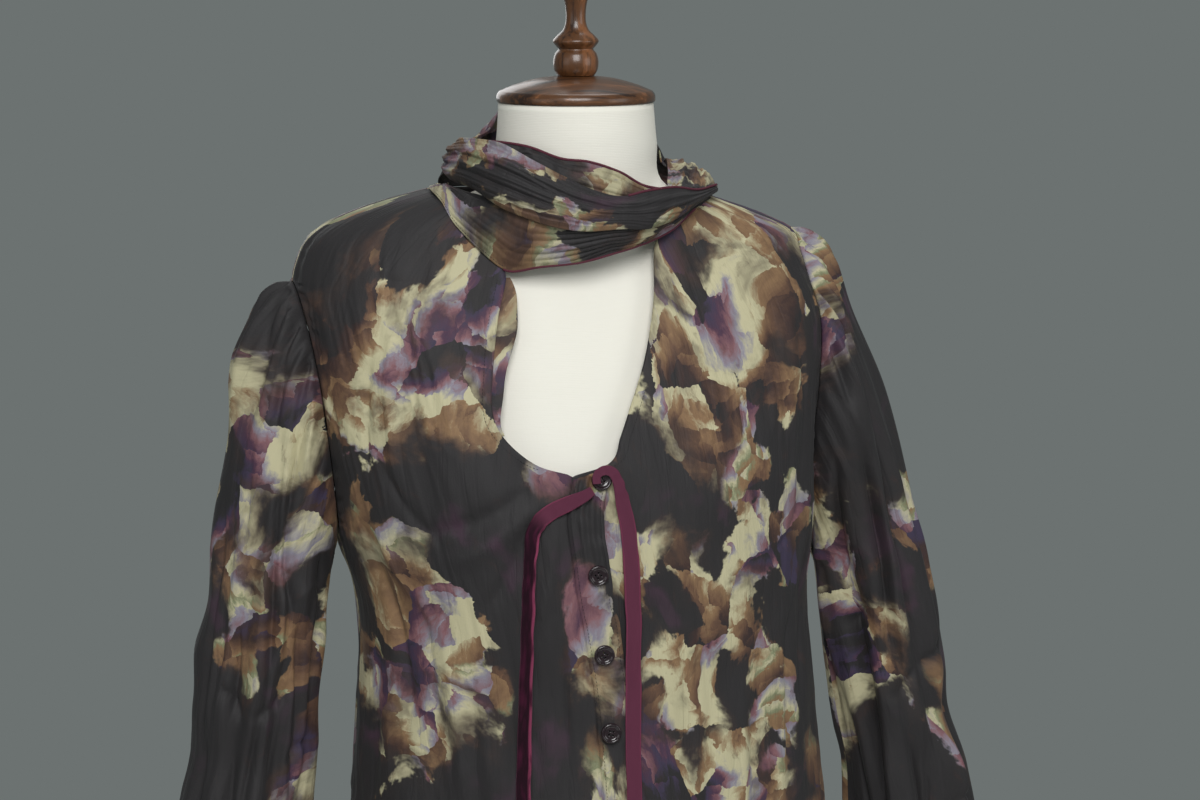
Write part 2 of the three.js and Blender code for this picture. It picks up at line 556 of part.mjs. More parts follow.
// The levels of a side's rows, from the shoulder's neck end to the hem: the seam's height and angle there.
function seamLevels(side, face) {
  const angle = side * QUARTER;
  const hole = ARMHOLES[side];
  const levels = [];
  for (let i = 0; i < SHOULDER_ROWS; i += 1) {
    const z = mix(side === RIGHT ? SHOULDER_TOP.right : SHOULDER_TOP.left, hole.top, i / SHOULDER_ROWS);
    levels.push({ z, angle });
  }
  for (let k = 0; k <= ARMHOLE_STEPS; k += 1) levels.push(armholeSpot(side, k, face));
  for (let i = 1; i <= LOWER_ROWS; i += 1) {
    const z = mix(hole.bottom, HEM_Z, i / LOWER_ROWS);
    levels.push({ z, angle });
  }
  return levels;
}

// Keeps a panel's edge half a seam gap from the line that it shares with its neighbour.
const SEAM_RADIUS = 180;
const setBack = (angle, towards) => angle + (Math.sign(towards - angle) * SEAM_GAP) / 2 / SEAM_RADIUS;

// The neckline and front edge of one side at a row: from the shoulder's neck end to the opening's foot, then
// down the lap.
function frontEdge(side, row) {
  const name = side === RIGHT ? "right" : "left";
  const footRow = SHOULDER_ROWS + ARMHOLE_STEPS - 3;
  if (row <= footRow) {
    const past = row - SHOULDER_ROWS;
    const part = past < 0 ? row / SHOULDER_ROWS : 1 + past / (footRow - SHOULDER_ROWS);
    return {
      x: along(NECK_EDGES, "part", part, `${name}X`),
      z: along(NECK_EDGES, "part", part, `${name}Z`),
    };
  }
  const rowsLeft = SHOULDER_ROWS + ARMHOLE_STEPS + LOWER_ROWS - footRow;
  const start = NECK_EDGES[NECK_EDGES.length - 1][`${name}Z`];
  const z = mix(start, HEM_Z, (row - footRow) / rowsLeft);
  const lap = along(LAP_EDGE, "z", z, "x");
  return { x: side === RIGHT ? lap - BAND_WIDTH - SEAM_GAP : lap - UNDERLAP, z };
}

function frontPanel(side) {
  const seam = seamLevels(side, "front");
  const points = [];
  const normals = [];
  seam.forEach((level, row) => {
    const edge = frontEdge(side, row);
    const start = frontAngle(edge.z, edge.x);
    const end = setBack(level.angle, start);
    const line = [];
    const lineNormals = [];
    for (let j = 0; j <= FRONT_COLUMNS; j += 1) {
      const share = side === RIGHT ? 1 - j / FRONT_COLUMNS : j / FRONT_COLUMNS;
      const z = mix(edge.z, level.z, share);
      const angle = mix(start, end, share);
      line.push(bodyPoint(z, angle));
      lineNormals.push(bodyNormal(z, angle));
    }
    points.push(line);
    normals.push(lineNormals);
  });
  return wall(points, normals, CLOTH);
}

function backPanel() {
  const left = seamLevels(LEFT, "back");
  const right = seamLevels(RIGHT, "back");
  const points = [];
  const normals = [];
  left.forEach((level, row) => {
    const other = right[row];
    const start = setBack(level.angle, Math.PI);
    const end = setBack(other.angle + 2 * Math.PI, Math.PI);
    const line = [];
    const lineNormals = [];
    for (let j = 0; j <= BACK_COLUMNS; j += 1) {
      const share = j / BACK_COLUMNS;
      const z = mix(level.z, other.z, share);
      const angle = mix(start, end, share);
      line.push(bodyPoint(z, angle));
      lineNormals.push(bodyNormal(z, angle));
    }
    points.push(line);
    normals.push(lineNormals);
  });
  return wall(points, normals, CLOTH);
}

// The band that laps over the left front, from the opening's foot to the hem.
function lapBand() {
  const points = [];
  for (let i = 0; i <= LAP_ROWS; i += 1) {
    const line = LAP_ACROSS.map((share) => {
      const top = mix(V_BOTTOM_Z + 6, V_BOTTOM_Z + 14, share);
      const z = mix(top, HEM_Z, i / LAP_ROWS);
      const x = along(LAP_EDGE, "z", z, "x") - BAND_WIDTH * (1 - share);
      return onFront(x, z, mix(LAP_OFF.seam, LAP_OFF.edge, share));
    });
    points.push(line);
  }
  return wall(points, gridNormals(points), CLOTH);
}

// The place round the tube in degrees, and along the sleeve from 0 at the armhole to 1 at the hem.
function sleeveFold(side, degrees, length) {
  return SLEEVE_FOLDS[side].reduce((sum, fold) => {
    const closed = fadeIn(length, fold.to - 0.15, fold.to);
    const opened = fadeIn(length, fold.from, fold.from + 0.16) * (1 - closed);
    const middle = fold.at + fold.slant * length;
    return sum + fold.depth * opened * Math.exp(-((turnBetween(degrees, middle) / fold.width) ** 2));
  }, 0);
}

function sleeveRing(side, z, turn, out) {
  const table = SLEEVE_SECTIONS[side];
  return new THREE.Vector3(
    side * (along(table, "z", z, "across") + (along(table, "z", z, "half") + out) * Math.cos(turn)),
    along(table, "z", z, "cy") - (along(table, "z", z, "deep") + out) * Math.sin(turn),
    z,
  );
}

// Start of the sleeve at the armhole, a seam gap inside its edge.
function sleeveStart(side, turn) {
  const step = (ARMHOLE_STEPS * turn) / Math.PI;
  const front = step <= ARMHOLE_STEPS;
  const spot = armholeSpot(side, front ? step : 2 * ARMHOLE_STEPS - step, front ? "front" : "back");
  const hole = ARMHOLES[side];
  const point = bodyPoint(spot.z, spot.angle);
  const middle = new THREE.Vector3(point.x, (hole.front + hole.back) / 2, (hole.top + hole.bottom) / 2);
  const inward = middle.sub(point).normalize();
  return point.addScaledVector(inward, SEAM_GAP).add(new THREE.Vector3(side * SEAM_GAP, 0, 0));
}

const CAP_SHARE = 0.36;
const CAP_FOOT_Z = 1100;

function sleevePoint(side, length, turn) {
  const degrees = THREE.MathUtils.radToDeg(turn);
  const fold = sleeveFold(side, degrees, length);
  if (length >= CAP_SHARE) {
    const z = mix(CAP_FOOT_Z, HEM_Z, (length - CAP_SHARE) / (1 - CAP_SHARE));
    return sleeveRing(side, z, turn, fold);
  }
  const head = SLEEVE_HEADS[side];
  const s = length / CAP_SHARE;
  const start = sleeveStart(side, turn);
  const end = sleeveRing(side, CAP_FOOT_Z, turn, 0);
  const span = start.distanceTo(end);
  const top = (1 + Math.cos(turn)) / 2;
  const leave = new THREE.Vector3(
    side * mix(0.25, head.reach, top),
    -0.35 * Math.sin(turn),
    mix(-1, head.lift, top),
  ).multiplyScalar(span);
  const arrive = new THREE.Vector3(side * head.flare, 0, -1).multiplyScalar(span);
  const s2 = s * s;
  const s3 = s2 * s;
  const point = start
    .multiplyScalar(2 * s3 - 3 * s2 + 1)
    .addScaledVector(leave, s3 - 2 * s2 + s)
    .addScaledVector(end, 3 * s2 - 2 * s3)
    .addScaledVector(arrive, s3 - s2);
  const outward = new THREE.Vector3(side * Math.cos(turn), -Math.sin(turn), 0.4 * top * (1 - s)).normalize();
  return point.addScaledVector(outward, fold);
}

function sleeve(side) {
  const lengths = [];
  for (let i = 0; i < SLEEVE_CAP_ROWS; i += 1) lengths.push((CAP_SHARE * i) / SLEEVE_CAP_ROWS);
  for (let i = 0; i <= SLEEVE_DROP_ROWS; i += 1) lengths.push(mix(CAP_SHARE, 1, i / SLEEVE_DROP_ROWS));
  const columns = 2 * ARMHOLE_STEPS;
  const points = lengths.map((length) => {
    const line = [];
    for (let j = 0; j < columns; j += 1) {
      const step = side === LEFT ? (columns - j) % columns : j;
      line.push(sleevePoint(side, length, (2 * Math.PI * step) / columns));
    }
    return line;
  });
  return wall(points, gridNormals(points, true), CLOTH, true);
}

// A stretch of the scarf: its rows run from the upper edge to the lower, its columns along it.
function scarfStretch(table, section, steps) {
  const lines = section
    .slice()
    .reverse()
    .map((place) => {
      const line = [];
      for (let i = 0; i <= steps; i += 1) {
        const share = i / steps;
        const read = (column) => atShare(table, share, column);
        const low = new THREE.Vector3(read("lowX"), read("lowY"), read("lowZ"));
        const high = new THREE.Vector3(read("highX"), read("highY"), read("highZ"));
        const up = high.clone().sub(low);
        const ahead = Math.min(share + 0.02, 1);
        const behind = Math.max(share - 0.02, 0);
        const run = new THREE.Vector3(
          atShare(table, ahead, "lowX") - atShare(table, behind, "lowX"),
          atShare(table, ahead, "lowY") - atShare(table, behind, "lowY"),
          atShare(table, ahead, "lowZ") - atShare(table, behind, "lowZ"),
        );
        const outward = run.cross(up).normalize();
        const point = low
          .addScaledVector(up, place.across)
          .addScaledVector(outward, place.swell * read("belly"));
        line.push(point);
      }
      return line;
    });
  return wall(lines, gridNormals(lines), SCARF_CLOTH);
}

function ribbon(name) {
  const route = RIBBON_ROUTES[name];
  const points = [];
  for (let i = 0; i <= RIBBON_STEPS; i += 1) {
    const share = i / RIBBON_STEPS;
    const read = (column) => atShare(route, share, column);
    const ahead = Math.min(share + 0.02, 1);
    const behind = Math.max(share - 0.02, 0);
    const run = new THREE.Vector2(
      atShare(route, ahead, "x") - atShare(route, behind, "x"),
      atShare(route, ahead, "z") - atShare(route, behind, "z"),
    ).normalize();
    const turn = radians(read("turn"));
    const rise = Math.sin(turn) * read("half");
    const line = RIBBON_ACROSS.map((place) => {
      const width = place * read("half");
      const flat = width * Math.cos(turn);
      const x = read("x") - run.y * flat;
      const z = read("z") + run.x * flat;
      return onFront(x, z, read("off") + Math.abs(rise) + place * rise + RIBBON_CLOTH);
    });
    points.push(line);
  }
  return wall(points, gridNormals(points), RIBBON_CLOTH);
}

// The inner cloth that rolls into view along the right of the opening.
function facing() {
  const points = [];
  const normals = [];
  for (let i = 0; i <= FACING_ROWS; i += 1) {
    const share = i / FACING_ROWS;
    const part = mix(FACING_FROM, FACING_TO, share);
    const x = along(NECK_EDGES, "part", part, "rightX");
    const z = along(NECK_EDGES, "part", part, "rightZ");
    const reach = along(FACING_REACH, "share", share, "reach");
    const line = [];
    const lineNormals = [];
    for (let j = 0; j <= FACING_COLUMNS; j += 1) {
      const place = mix(-FACING_UNDER, reach, j / FACING_COLUMNS);
      const angle = frontAngle(z, x + place);
      const away = bodyNormal(z, angle);
      line.push(bodyPoint(z, angle).addScaledVector(away, -FACING_SINK));
      lineNormals.push(away);
    }
    points.push(line);
    normals.push(lineNormals);
  }
  return wall(points, normals, CLOTH);
}

// A turned solid from a table of radii and heights, closed on its axis.
function turned(profile, sides) {
  const outline = profile.map((row) => new THREE.Vector2(row.r, row.z));
  outline.unshift(new THREE.Vector2(0, profile[0].z));
  outline.push(new THREE.Vector2(0, profile[profile.length - 1].z));
  return new THREE.LatheGeometry(outline, sides).rotateX(QUARTER);
}

function canvasBody() {
  const levels = [];
  FORM_SECTIONS.forEach((row, i) => {
    levels.push(row.z);
    const next = FORM_SECTIONS[i + 1];
    if (next && next.z - row.z > 40) levels.push((row.z + next.z) / 2);
  });
  const rings = levels.map((z) => {
    const ring = [];
    for (let j = 0; j < FORM_COLUMNS; j += 1)
      ring.push(sectionPoint(FORM_SECTIONS, z, (2 * Math.PI * j) / FORM_COLUMNS));
    return ring;
  });
  const positions = rings.flat().flatMap((p) => [p.x, p.y, p.z]);
  const index = [];
  const spot = (i, j) => i * FORM_COLUMNS + (j % FORM_COLUMNS);
  for (let i = 0; i < rings.length - 1; i += 1)
    for (let j = 0; j < FORM_COLUMNS; j += 1) {
      const [a, b, c, d] = [spot(i, j), spot(i, j + 1), spot(i + 1, j + 1), spot(i + 1, j)];
      index.push(a, b, c, a, c, d);
    }
  const bottom = positions.length / 3;
  positions.push(0, 0, levels[0]);
  positions.push(NECK_CENTRE.x, NECK_CENTRE.y, levels[levels.length - 1]);
  for (let j = 0; j < FORM_COLUMNS; j += 1) {
    index.push(bottom, spot(0, j + 1), spot(0, j));
    index.push(bottom + 1, spot(rings.length - 1, j), spot(rings.length - 1, j + 1));
  }
  return new THREE.BufferGeometry()
    .setAttribute("position", new THREE.Float32BufferAttribute(positions, 3))
    .setIndex(index);
}

const blouse = new THREE.Group();
blouse.add(mesh("front_right", frontPanel(RIGHT), PRINTED_CLOTH));
blouse.add(mesh("front_left", frontPanel(LEFT), PRINTED_CLOTH));
blouse.add(mesh("back", backPanel(), PRINTED_CLOTH));
blouse.add(mesh("lap_band", lapBand(), PRINTED_CLOTH));
blouse.add(mesh("opening_facing", facing(), PRINTED_CLOTH));
blouse.add(mesh("sleeve_right", sleeve(RIGHT), PRINTED_CLOTH));
blouse.add(mesh("sleeve_left", sleeve(LEFT), PRINTED_CLOTH));

blouse.add(mesh("scarf_lower", scarfStretch(SCARF_LOWER, DRAPED, SCARF_STEPS), SCARF_PRINT));
blouse.add(mesh("scarf_upper", scarfStretch(SCARF_UPPER, ROLLED, SCARF_STEPS), SCARF_PRINT));
blouse.add(mesh("scarf_inner", scarfStretch(SCARF_INNER, DRAPED, SCARF_STEPS), SCARF_PRINT));
blouse.add(mesh("scarf_back", scarfStretch(SCARF_BACK, ROLLED, SCARF_STEPS), SCARF_PRINT));
blouse.add(mesh("scarf_shoulder", scarfStretch(SCARF_SHOULDER, ROLLED, SHOULDER_STEPS), SCARF_PRINT));

for (const name of Object.keys(RIBBON_ROUTES)) blouse.add(mesh(name, ribbon(name), VELVET));

BUTTONS.forEach(({ z, x }, i) => {
  const button = mesh(`button_${i + 1}`, turned(BUTTON_PROFILE, 12), BUTTON_RESIN);
  button.quaternion.setFromUnitVectors(new THREE.Vector3(0, 0, 1), bodyNormal(z, frontAngle(z, x)));
  button.position.copy(onFront(x, z, BUTTON_OFF));
  blouse.add(button);
});

const dressForm = new THREE.Group();
dressForm.add(mesh("form_body", canvasBody(), CANVAS));
const cap = mesh("form_cap", turned(CAP_PROFILE, TURNED_SIDES), WALNUT);
cap.position.set(NECK_CENTRE.x, NECK_CENTRE.y, CAP_Z);
dressForm.add(cap);
const finial = mesh("form_finial", turned(FINIAL_PROFILE, 14), WALNUT);
finial.position.set(NECK_CENTRE.x, NECK_CENTRE.y, FINIAL_Z);
dressForm.add(finial);
const base = mesh("stand_base", turned(BASE_PROFILE, TURNED_SIDES), WALNUT);
dressForm.add(base);
const poleFoot = BASE_PROFILE[BASE_PROFILE.length - 1].z + SEAM_GAP;
const poleTop = FORM_BOTTOM_Z - SEAM_GAP;
const poleShape = new THREE.CylinderGeometry(POLE_RADIUS, POLE_RADIUS, poleTop - poleFoot, 20);
const pole = mesh("stand_pole", poleShape.rotateX(QUARTER), WALNUT);
pole.position.set(0, 0, (poleFoot + poleTop) / 2);
dressForm.add(pole);

const dressed = new THREE.Group();
dressed.add(blouse, dressForm);
export default dressed;
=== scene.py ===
"""Looks for a button-down blouse with a wound scarf collar and ribbon ties, on a limbless dress form.

Sizes in the tables are millimetres, +Z up; the front faces -Y and the wearer's left is +X. Meshes are in
metres.
"""

import math

import bmesh
import bpy
import numpy as np
from mathutils import Matrix, Vector


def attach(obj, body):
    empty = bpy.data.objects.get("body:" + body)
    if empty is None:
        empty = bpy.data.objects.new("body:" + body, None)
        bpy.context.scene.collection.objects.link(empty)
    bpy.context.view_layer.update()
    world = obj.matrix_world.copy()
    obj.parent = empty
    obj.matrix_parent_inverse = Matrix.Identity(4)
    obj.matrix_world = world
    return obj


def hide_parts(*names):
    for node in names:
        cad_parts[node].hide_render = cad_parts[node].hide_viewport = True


bl_info = {
    "name": "Scarf Collar Blouse",
    "version": (1, 0, 0),
    "blender": (4, 5, 0),
    "location": "View3D > Sidebar > Blouse",
    "description": "Builds the cloth, trims, dress form and studio for a printed blouse",
    "category": "Object",
}

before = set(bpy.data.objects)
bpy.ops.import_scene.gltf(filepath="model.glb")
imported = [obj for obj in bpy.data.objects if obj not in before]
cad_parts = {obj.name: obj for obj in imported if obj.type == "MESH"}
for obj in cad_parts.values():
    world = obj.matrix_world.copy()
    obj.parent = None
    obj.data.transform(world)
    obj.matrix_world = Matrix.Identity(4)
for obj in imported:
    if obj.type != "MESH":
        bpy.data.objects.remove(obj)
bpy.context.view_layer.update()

MM = 0.001
RIGHT = -1
LEFT = 1
SIDES = ((RIGHT, "right"), (LEFT, "left"))
QUARTER = math.pi / 2
SEAM_GAP = 0.3
SEAM_RADIUS = 180
HEM_Z = 745
SHOULDER_TOP = {RIGHT: 1401, LEFT: 1392}


def smooth(spots, values, at):
    """A smooth curve through values at rising spots, read at an array of places."""
    at = np.clip(at, spots[0], spots[-1])
    last = len(spots) - 1
    before = np.maximum(np.arange(last + 1) - 1, 0)
    after = np.minimum(np.arange(last + 1) + 1, last)
    slopes = (values[after] - values[before]) / (spots[after] - spots[before])
    i = np.clip(np.searchsorted(spots, at, side="right") - 1, 0, last - 1)
    span = spots[i + 1] - spots[i]
    s = (at - spots[i]) / span
    rise = s * s * (3 - 2 * s)
    bend = s * (1 - s) ** 2 * slopes[i] - s * s * (1 - s) * slopes[i + 1]
    return values[i] + (values[i + 1] - values[i]) * rise + span * bend


class Table:
    """Rows of sizes under named columns, read as one smooth curve a column."""

    def __init__(self, names, *rows):
        self.names = names.split()
        self.rows = rows
        self.columns = dict(zip(self.names, np.array(rows, float).T))

    def read(self, name, at):
        """A column at places of the first column, which rises or falls all the way."""
        spots, values = self.columns[self.names[0]], self.columns[name]
        if spots[-1] < spots[0]:
            return smooth(-spots, values, -np.asarray(at, float))
        return smooth(spots, values, np.asarray(at, float))

    def share(self, name, at):
        """A column of evenly spaced stations, at shares of the table's length."""
        values = self.columns[name]
        stations = np.arange(len(values), dtype=float)
        return smooth(stations, values, np.asarray(at, float) * (len(values) - 1))


# Body of the blouse: half widths, depths to the front and the back, centre and squareness at each level
BODY = Table(
    "z right left front back cx cy square",
    (745, 200, 200, 138, 124, 11, -8, 2.05),
    (840, 192, 192, 132, 118, 10, -9, 2.05),
    (940, 184, 184, 126, 110, 8, -9, 2.05),
    (1016, 177, 177, 123, 105, 7, -8, 2.1),
    (1090, 172, 174, 125, 104, 4, -4, 2.15),
    (1148, 182, 183, 129, 105, 0, 1, 2.25),
    (1200, 190, 186, 127, 104, -2, 5, 2.35),
    (1252, 197, 195, 118, 100, -4, 9, 2.4),
    (1300, 204, 200, 104, 92, -5, 13, 2.4),
    (1332, 205, 193, 92, 82, -6, 16, 2.35),
    (1350, 201, 187, 84, 74, -6, 17, 2.3),
    (1366, 192, 179, 76, 66, -6, 17, 2.25),
    (1380, 174, 146, 70, 58, -3, 15, 2.2),
    (1392, 145, 108, 67, 53, 0, 11, 2.1),
    (1401, 110, 86, 66, 50, 0, 8, 2.05),
)

ARMHOLES = {
    RIGHT: {"top": 1334, "bottom": 1147, "front": -26, "back": 66},
    LEFT: {"top": 1366, "bottom": 1153, "front": -30, "back": 66},
}

# Rows of a panel, counted from the shoulder's neck end: the shoulder, the armhole and the side
SHOULDER_ROWS = 4
ARMHOLE_ROWS = 15
SIDE_ROWS = 10
PANEL_ROWS = SHOULDER_ROWS + ARMHOLE_ROWS + SIDE_ROWS
FOOT_ROW = SHOULDER_ROWS + ARMHOLE_ROWS - 3

NECK_EDGES = Table(
    "part rightX rightZ leftX leftZ",
    (0, -104, 1401, 101, 1392),
    (0.5, -93, 1369, 78, 1384),
    (1, -68, 1346, 48, 1364),
    (1.25, -77, 1313, 41, 1325),
    (1.5, -84, 1276, 29, 1283),
    (1.7, -86, 1247, 15, 1250),
    (1.82, -78, 1229, 6, 1229),
    (1.92, -57, 1211, -3, 1211),
    (2, -31.5, 1203, -33, 1202),
)
LAP_EDGE = Table(
    "z x",
    (745, 20),
    (860, 18),
    (961, 15),
    (1037, 9.5),
    (1082, 3),
    (1113, -3),
    (1140, -6.5),
    (1171, -10),
    (1192, -7),
    (1208, -2),
)
BAND_WIDTH = 26
UNDERLAP = 22
LAP_TOP = (1200, 1208)
LAP_OFF = (1.9, 2.6)

# Broad soft folds: degrees from the centre front, reach in height, depth, width in degrees, slant
BODY_FOLDS = Table(
    "at top foot depth width slant",
    (-78, 1150, 700, -7, 7, 8),
    (-58, 1120, 700, 6, 9, 6),
    (-40, 1060, 700, -6, 8, 4),
    (-24, 1000, 700, 5, 8, 0),
    (30, 1010, 700, -6, 8, 3),
    (48, 1080, 700, 6, 9, -4),
    (66, 1130, 700, -8, 8, -5),
    (84, 1130, 700, 6, 8, 0),
    (108, 1100, 700, -8, 9, 4),
    (130, 1050, 700, 7, 9, 0),
    (152, 1060, 700, -8, 9, 0),
    (178, 1040, 700, 7, 10, 0),
    (204, 1060, 700, -8, 9, 0),
    (228, 1060, 700, 7, 9, -3),
    (252, 1100, 700, -7, 9, -5),
)

# Creases: both ends on the cloth, how far the line bows sideways, depth (a groove is negative) and width.
# On the body x is the distance round from the centre front and y the height.
BODY_CREASES = Table(
    "x1 y1 x2 y2 bow depth width",
    (-40, 1198, -150, 1160, -8, -2.6, 4),
    (-38, 1191, -128, 1136, -9, 2.2, 5),
    (-45, 1188, -112, 1096, -8, -2.2, 4),
    (-30, 1183, -66, 1085, -5, 1.8, 5),
    (-24, 1180, -44, 1060, 3, -1.8, 3.5),
    (-150, 1300, -190, 1195, 6, -1.8, 5),
    (-128, 1318, -158, 1190, 6, 1.4, 5),
    (-172, 1215, -120, 1150, 8, -1.8, 5),
    (-195, 1168, -140, 1080, 6, 2.0, 7),
    (-205, 1150, -172, 1010, 5, -2.4, 6),
    (-168, 1130, -132, 980, 6, -1.8, 5),
    (-150, 1110, -120, 905, -6, 1.8, 7),
    (-118, 1080, -98, 890, 7, -1.9, 6),
    (-92, 1120, -84, 960, -4, -1.2, 4),
    (-74, 1060, -60, 860, 6, 1.6, 7),
    (-104, 1290, -110, 1220, 2, -0.9, 3.5),
    (-95, 1340, -150, 1345, -4, -1.2, 5),
    (60, 1360, 118, 1345, 4, -1.1, 5),
    (70, 1345, 128, 1285, 6, 1.2, 6),
    (150, 1310, 188, 1200, -6, -1.8, 5),
    (140, 1270, 165, 1160, -5, 1.4, 6),
    (190, 1175, 128, 1130, -6, -1.9, 5),
    (198, 1160, 150, 1070, -6, 1.9, 7),
    (206, 1150, 178, 1000, -5, -2.4, 6),
    (175, 1120, 150, 940, 7, -2.0, 6),
    (150, 1090, 128, 930, -6, 1.8, 7),
    (122, 1075, 104, 880, 6, -1.9, 6),
    (96, 1050, 88, 900, -4, 1.6, 6),
    (72, 1060, 62, 870, 5, -1.7, 6),
    (46, 1120, 50, 960, 3, -1.1, 4),
    (36, 1240, 44, 1150, 2, -0.8, 4),
    (-36, 1140, -34, 1010, 3, 1.2, 4),
    (-48, 1100, -46, 930, -3, -1.4, 4),
    (250, 1180, 300, 1090, 8, -2.2, 7),
    (262, 1300, 300, 1180, 8, -1.8, 7),
    (330, 1240, 352, 1080, 8, 1.6, 8),
    (400, 1360, 420, 1240, -8, -1.6, 7),
    (470, 1330, 455, 1150, 8, -1.6, 8),
    (560, 1350, 540, 1200, -8, 1.5, 8),
    (640, 1330, 690, 1190, 8, -1.8, 7),
    (700, 1180, 640, 1080, -8, -2.2, 7),
    (500, 1120, 520, 950, 8, 1.6, 8),
    (600, 1110, 590, 900, -8, -1.8, 7),
)

# Sleeves below the head: the tube's centre across, half width, half depth and centre in depth
SLEEVES = {
    RIGHT: Table(
        "z across half deep cy",
        (745, 277, 56, 50, 6),
        (850, 263, 54, 49, 7),
        (945, 251, 51, 48, 8),
        (1030, 241, 48.5, 48, 9),
        (1100, 234, 46, 48, 11),
    ),
    LEFT: Table(
        "z across half deep cy",
        (745, 297, 55, 50, 6),
        (850, 282, 52, 49, 7),
        (945, 267, 48.5, 48, 8),
        (1030, 252, 46, 48, 9),
        (1100, 240, 44, 48, 11),
    ),
}
SLEEVE_HEADS = {
    RIGHT: {"reach": 0.49, "lift": 0.08, "flare": 0.12},
    LEFT: {"reach": 0.44, "lift": 0.06, "flare": 0.16},
}
CAP_SHARE = 0.36
CAP_FOOT_Z = 1100

# Long folds in the sleeves: degrees round from the outer side, from and to along it, depth, width, slant
SLEEVE_FOLDS = {
    RIGHT: Table(
        "at start end depth width slant",
        (32, 0.02, 0.5, -6, 11, 10),
        (62, 0.06, 1.1, -9, 13, -6),
        (98, 0.1, 1.1, -10, 13, 12),
        (8, 0.02, 0.3, 4, 11, 0),
        (20, 0.35, 1.1, -8, 13, 8),
        (140, 0.25, 1.1, -9, 14, 0),
        (180, 0.35, 0.9, -6, 14, 6),
        (222, 0.25, 1.1, -9, 14, 0),
        (262, 0.1, 1.1, -8, 13, -8),
        (305, 0.05, 1.1, -9, 13, 8),
        (340, 0.02, 0.45, -5, 11, 0),
    ),
    LEFT: Table(
        "at start end depth width slant",
        (26, 0.02, 0.45, -5, 11, 8),
        (58, 0.05, 1.1, -9, 13, 4),
        (92, 0.12, 1.1, -8, 13, -10),
        (14, 0.4, 1.1, -7, 13, 10),
        (130, 0.2, 1.1, -9, 14, 4),
        (172, 0.4, 1.1, -6, 14, -5),
        (215, 0.25, 1.1, -9, 14, 0),
        (255, 0.1, 1.1, -8, 13, 8),
        (300, 0.05, 1.1, -9, 13, -6),
        (338, 0.02, 0.4, -5, 11, 0),
    ),
}

